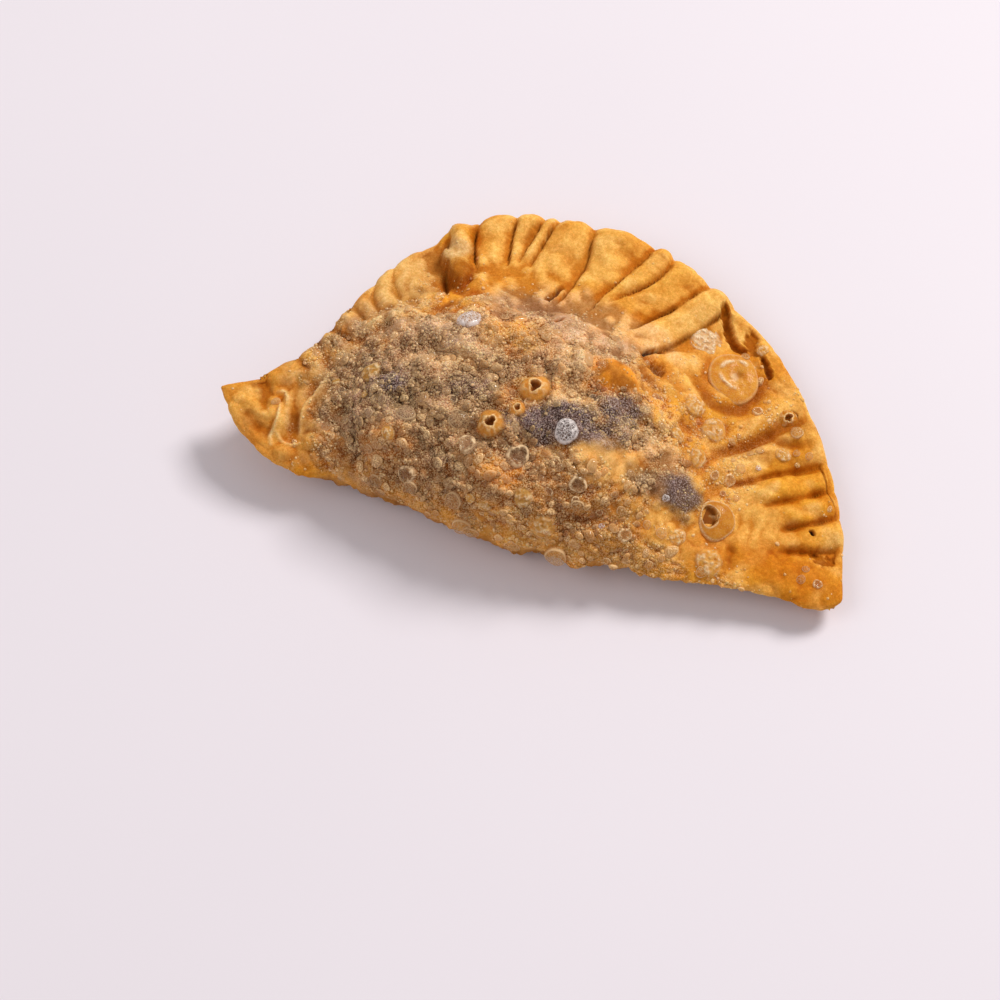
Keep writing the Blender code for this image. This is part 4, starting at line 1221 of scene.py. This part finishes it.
def blister(kind, x, y, diameter, seed):
    """A closed polar grid on the crust: points, two poles, lip, opening, fading and its place."""
    # A wider blister has a finer grid. Its axis is the mean normal of the crust that it covers.
    spokes, rings = (28, 12) if diameter < 3 else (44, 18) if diameter < 6 else (72, 28)
    gap = np.linalg.norm(top_points[:, :2] - (np.array([x, y]) * MM - shift[:2]), axis=1)
    at = gap.argmin()
    around = gap < max(0.4 * diameter, 0.9) * MM
    centre, axis = top_points[at].copy(), top_normals[around].mean(axis=0)
    axis /= np.linalg.norm(axis)
    radius = diameter * MM / 2
    one = np.cross([0.0, 1.0, 0.0], axis)
    one /= np.linalg.norm(one)
    other = np.cross(axis, one)
    r = np.concatenate([np.linspace(0, 1, rings)[1:] ** 0.85, CLOSING_RADII])[:, None] * np.ones(spokes)
    turn = np.ones(len(r))[:, None] * np.linspace(0, 2 * np.pi, spokes, endpoint=False)
    on_disc = np.stack([r * np.cos(turn), r * np.sin(turn), np.full(r.shape, 0.37 * seed)], axis=-1)
    on_edge = np.stack([0.4 * np.cos(turn), 0.4 * np.sin(turn), np.full(r.shape, 0.37 * seed)], axis=-1)
    wobble = 0.7 * noise(on_disc, 0.62, seed) + 0.5 * noise(on_disc, 0.27, seed + 1)
    height, lip, gape = blister_form(kind, r, turn, wobble, noise(on_edge, 0.5, seed))
    height[rings - 1:] = np.array(CLOSING_HEIGHTS)[:, None]
    lip[rings - 1:], gape[rings - 1:] = 0, 0
    faded = np.ones(r.shape)
    if kind in FADES_FROM:
        faded = 1 - step(FADES_FROM[kind], 1.0, r)
        faded[rings - 1:] = 0
    outline = 1 + 0.06 * np.cos(2 * turn + seed) + 0.04 * np.cos(3 * turn + 2 * seed)
    outline = outline + 0.02 * np.cos(5 * turn)
    flat = (one * np.cos(turn)[..., None] + other * np.sin(turn)[..., None]) * (r * outline)[..., None]
    points = centre + radius * (flat + axis * (height + RAISED_BY)[..., None])
    crown = centre + radius * axis * (height[0].mean() + RAISED_BY)
    base = centre + radius * axis * BLISTER_BASE
    return points, crown, base, lip, gape, faded, at


print("rings and spokes of a small blister:", blister("film", 0.0, 0.0, 2.0, 1)[0].shape[:2])

# %% [markdown]
# The film of these blisters follows three values at each point: how bright, how solid and how open.
# An opening is deep amber, partly the crust under it and partly painted shade, and its rim stays pale,
# because light shines through the thin edge.

# %% Named blister film


def named_film():
    """A see-through film, pale and solid along lips and wrinkles, and deep amber with painted shade in an
    opening.
    """
    material, tree, shader = start_material("named blister film")
    where = add(tree, "ShaderNodeTexCoord").outputs["Object"]
    painted = attribute(tree, "crust_colour").outputs["Color"]
    lip = attribute(tree, "lip").outputs["Fac"]
    gape = attribute(tree, "gape").outputs["Fac"]
    whiteness = attribute(tree, "whiteness").outputs["Fac"]
    solid = attribute(tree, "solid").outputs["Fac"]
    # How pale it is: the most of a fine net, scattered specks and the lip.
    creased = remap(tree, whiteness, 0.2, 0.8, 0.45, 1.0)
    net = maths(tree, "MULTIPLY", threads(tree, where, 1500.0, 0.13), creased)
    spotted = remap(tree, whiteness, 0.2, 0.8, 0.60, 0.20)
    mottle = maths(tree, "MULTIPLY", specks(tree, where, 2300.0, 0.42), spotted)
    whitened = maths(tree, "POWER", whiteness, 2.5)
    pale = blend_colour(tree, whitened, (0.90, 0.62, 0.31, 1), (0.90, 0.81, 0.78, 1))
    share = maths(tree, "MAXIMUM", maths(tree, "MAXIMUM", net, mottle), maths(tree, "MULTIPLY", lip, 0.9))
    clear = blend_colour(tree, 0.15, painted, pale)
    covered = blend_colour(tree, share, clear, pale)
    # The floor of an opening is darkened: partly the crust under it, partly painted shade.
    open_floor = blend_colour(tree, 1.0, painted, (0.42, 0.22, 0.10, 1), "MULTIPLY")
    tree.links.new(blend_colour(tree, gape, covered, open_floor), shader.inputs["Base Color"])
    opaque = maths(tree, "MAXIMUM", maths(tree, "MAXIMUM", share, gape), solid)
    tree.links.new(opaque, shader.inputs["Alpha"])
    # The film is crumpled, which breaks up its gloss.
    crumpled = {"Vector": where, "Scale": 1100.0, "Detail": 3.0, "Distortion": 1.5}
    crinkle = add(tree, "ShaderNodeTexNoise", crumpled).outputs["Fac"]
    bump = add(tree, "ShaderNodeBump", {"Height": crinkle, "Strength": 0.6, "Distance": 0.0003})
    tree.links.new(bump.outputs[0], shader.inputs["Normal"])
    oil(shader, 0.0, 0.45, 0.35)
    return material


clear_film = named_film()
print("nodes in the named film:", len(clear_film.node_tree.nodes))

# %% [markdown]
# The crackled blisters, the craters, the flake, the wide disc and the torn blister have a thicker
# skin, which hides what lies under it. It is golden and hardly shines, its lips are pale crumbs, and
# its openings are deep amber with painted shade. Most of them rise out of the crust without an edge,
# so their foot fades away.

# %% Thick blister skin


def blister_skin():
    """Golden mottled skin with pale crumbs on its lips and a deep amber bed of painted shade in its openings.
    """
    material, tree, shader = start_material("thick blister skin")
    where = add(tree, "ShaderNodeTexCoord").outputs["Object"]
    painted = attribute(tree, "crust_colour").outputs["Color"]
    lip = attribute(tree, "lip").outputs["Fac"]
    gape = attribute(tree, "gape").outputs["Fac"]
    whiteness = attribute(tree, "whiteness").outputs["Fac"]
    cloud = add(tree, "ShaderNodeTexNoise", {"Vector": where, "Scale": 700.0, "Detail": 4.0})
    grain = add(tree, "ShaderNodeTexNoise", {"Vector": where, "Scale": 2400.0, "Detail": 2.0})
    darker = blend_colour(tree, 1.0, painted, (0.84, 0.66, 0.42, 1), "MULTIPLY")
    mottled = blend_colour(tree, remap(tree, cloud.outputs["Fac"], 0.42, 0.62, 0.0, 0.8), painted, darker)
    pale = blend_colour(tree, whiteness, (0.86, 0.56, 0.24, 1), (0.92, 0.80, 0.62, 1))
    crumbs = maths(tree, "MULTIPLY", lip, remap(tree, grain.outputs["Fac"], 0.38, 0.55, 0.35, 1.0))
    mottle = maths(tree, "MULTIPLY", specks(tree, where, 2600.0, 0.40), 0.35)
    covered = blend_colour(tree, maths(tree, "MAXIMUM", crumbs, mottle), mottled, pale)
    # The bed of an opening is darkened: partly the crust under it, partly painted shade.
    bed = blend_colour(tree, 1.0, painted, (0.36, 0.24, 0.14, 1), "MULTIPLY")
    tree.links.new(blend_colour(tree, gape, covered, bed), shader.inputs["Base Color"])
    solid = attribute(tree, "solid").outputs["Fac"]
    opaque = maths(tree, "MAXIMUM", maths(tree, "MAXIMUM", crumbs, gape), solid)
    faded = attribute(tree, "fade").outputs["Fac"]
    tree.links.new(maths(tree, "MULTIPLY", opaque, faded), shader.inputs["Alpha"])
    bump = add(tree, "ShaderNodeBump", {"Height": grain.outputs["Fac"], "Strength": 0.5, "Distance": 0.0003})
    tree.links.new(bump.outputs[0], shader.inputs["Normal"])
    oil(shader, 0.12, 0.50, 0.10)
    return material


thick_skin = blister_skin()
print("nodes in the thick skin:", len(thick_skin.node_tree.nodes))

# %% Named blister meshes


def blister_piece(name, kinds, material, seed):
    """All the blisters of some kinds as one mesh, each with its own form, brightness and openings."""
    global taken_places, taken_radii
    faces, start = [], 0
    parts = {key: [] for key in ("points", "lip", "gape", "fade", "whiteness", "solid", "crust_colour")}
    for kind in kinds:
        for x, y, diameter in BLISTERS[kind]:
            points, crown, base, lip, gape, faded, at = blister(kind, x, y, diameter, seed)
            listed = np.concatenate([points.reshape(-1, 3), [crown, base]])
            tint = mix(top_colour[at], SKIN_TINTS.get(kind, GOLDEN), 0.7 * (kind in SKIN_TINTS))
            parts["points"].append(listed)
            parts["lip"].append(np.concatenate([lip.ravel(), [lip[0].mean(), 0]]))
            parts["gape"].append(np.concatenate([gape.ravel(), [gape[0].mean(), 0]]))
            parts["fade"].append(np.concatenate([faded.ravel(), [1, faded[-1, 0]]]))
            parts["whiteness"].append(np.full(len(listed), WHITENESS[kind]))
            parts["solid"].append(np.full(len(listed), SOLIDITY[kind]))
            parts["crust_colour"].append(np.tile(tint, (len(listed), 1)))
            faces += [[start + corner for corner in face] for face in tube_faces(*points.shape[:2])]
            taken_places = np.vstack([taken_places, top_points[at]])
            taken_radii = np.append(taken_radii, diameter * MM / 2)
            start, seed = start + len(listed), seed + 1
    values = {key: np.concatenate(listed) for key, listed in parts.items()}
    new_piece(name, values.pop("points"), faces, material, values)
    print(name, "faces:", len(faces))


blister_piece("clear_blisters", CLEAR_KINDS, clear_film, 100)
blister_piece("skin_blisters", SKIN_KINDS, thick_skin, 300)

# %% [markdown]
# ## Filling the gaps
# Four kinds of smaller bubbles follow, from large to fine. The larger have more rings and sides.
# Each crowds where the skin foams, keeps off the bare filling and the creases, and the two larger
# kinds gather towards the fold.

# %% Four kinds of bubbles
STRAY_CHANCE = 0.0012  # the weight of smooth dough, for a few stray bubbles
ROUND = [(0.30, 0.95), (0.58, 0.80), (0.80, 0.58), (0.94, 0.30), (1.0, 0.0), (0.9, -0.25)]
MIDDLE = [(0.42, 0.90), (0.76, 0.62), (0.97, 0.22), (1.02, -0.15)]
SMALL = [(0.52, 0.84), (0.90, 0.36), (1.05, -0.15)]
KINDS = {
    "blisters": dict(count=80, across=(1.9, 3.3), closeness=0.90, foaming=1.7, off_bare=0.90, in_front=2.5,
                     profile=ROUND, sides=22, tall=0.66, material=film),
    "bubbles": dict(count=380, across=(1.2, 2.2), closeness=0.86, foaming=1.7, off_bare=0.90, in_front=2.5,
                    profile=MIDDLE, sides=14, tall=0.70, material=film),
    "beads": dict(count=1500, across=(0.7, 1.2), closeness=0.85, foaming=1.4, off_bare=0.90, in_front=0.0,
                  profile=SMALL, sides=8, tall=0.60, material=dough),
    "fine_beads": dict(count=4600, across=(0.35, 0.75), closeness=0.80, foaming=1.4, off_bare=0.75,
                       in_front=0.0, profile=SMALL, sides=6, tall=0.60, material=dough),
}
for order, (name, kind) in enumerate(KINDS.items()):
    smallest, largest = kind["across"]
    weight = (top_foam ** kind["foaming"] + STRAY_CHANCE) * crowding * closed
    weight = weight * (1 - kind["off_bare"] * top_bare) * (1 + kind["in_front"] * front_half)
    chosen, radii, centres = set_out(kind["count"], smallest * MM, largest * MM, kind["closeness"],
                                     weight, 40 + order)
    heights = radii * kind["tall"] * np.random.default_rng(60 + order).uniform(0.7, 1.3, len(radii))
    bubble_mesh(name, centres, top_normals[chosen], radii, heights, top_colour[chosen],
                kind["sides"], kind["profile"], kind["material"], 80 + order)

# %% [markdown]
# ## Floor and light
# A pale floor and soft light leave the food to speak. One wide lamp stands behind and above, so
# that pleats and bubbles get bright tops and soft shadows towards the camera. A second, weaker one
# fills from the front, and the pale surroundings do the rest.

# %% Floor
FLOOR_SIZE, FLOOR_DROP = 3.0, 0.02 * MM
FLOOR_TONES = (0.775, 0.72, 0.78, 1), (0.815, 0.76, 0.82, 1)
floor_mesh = bpy.data.meshes.new("floor")
corners = [(x * FLOOR_SIZE, y * FLOOR_SIZE, -FLOOR_DROP) for x, y in ((-1, -1), (1, -1), (1, 1), (-1, 1))]
floor_mesh.from_pydata(corners, [], [(0, 1, 2, 3)])
floor_material, floor_tree, floor_shader = start_material("pale floor")
floor_where = add(floor_tree, "ShaderNodeTexCoord").outputs["Object"]
floor_cloud = add(floor_tree, "ShaderNodeTexNoise", {"Vector": floor_where, "Scale": 6.0, "Detail": 2.0})
floor_tone = blend_colour(floor_tree, floor_cloud.outputs["Fac"], *FLOOR_TONES)
floor_tree.links.new(floor_tone, floor_shader.inputs["Base Color"])
floor_shader.inputs["Roughness"].default_value = 0.6
floor_mesh.materials.append(floor_material)
floor = bpy.data.objects.new("floor", floor_mesh)
bpy.context.scene.collection.objects.link(floor)
print("floor, m:", 2 * FLOOR_SIZE)

# %% Lamps and surroundings


def soft_lamp(name, place, size, power, tint):
    """A square lamp at a place in metres, facing the pastelito."""
    data = bpy.data.lights.new(name, "AREA")
    data.shape = "SQUARE"
    data.size, data.energy, data.color = size, power, tint
    lamp = bpy.data.objects.new(name, data)
    lamp.location = place
    lamp.rotation_euler = Vector(place).to_track_quat("Z", "Y").to_euler()
    bpy.context.scene.collection.objects.link(lamp)
    return lamp


soft_lamp("key", (0.66, 1.24, 1.44), size=0.64, power=32.5, tint=(1.0, 0.98, 0.95))
soft_lamp("fill", (-1.1, -0.7, 1.5), size=1.2, power=8.0, tint=(1.0, 0.98, 0.97))
world = bpy.data.worlds.new("pale room")
world.use_nodes = True
world.node_tree.nodes["Background"].inputs["Color"].default_value = (1.0, 0.97, 0.96, 1)
world.node_tree.nodes["Background"].inputs["Strength"].default_value = 0.40
bpy.context.scene.world = world
bpy.context.scene.view_settings.view_transform = "Standard"
print("lamps:", [item.name for item in bpy.data.lights])
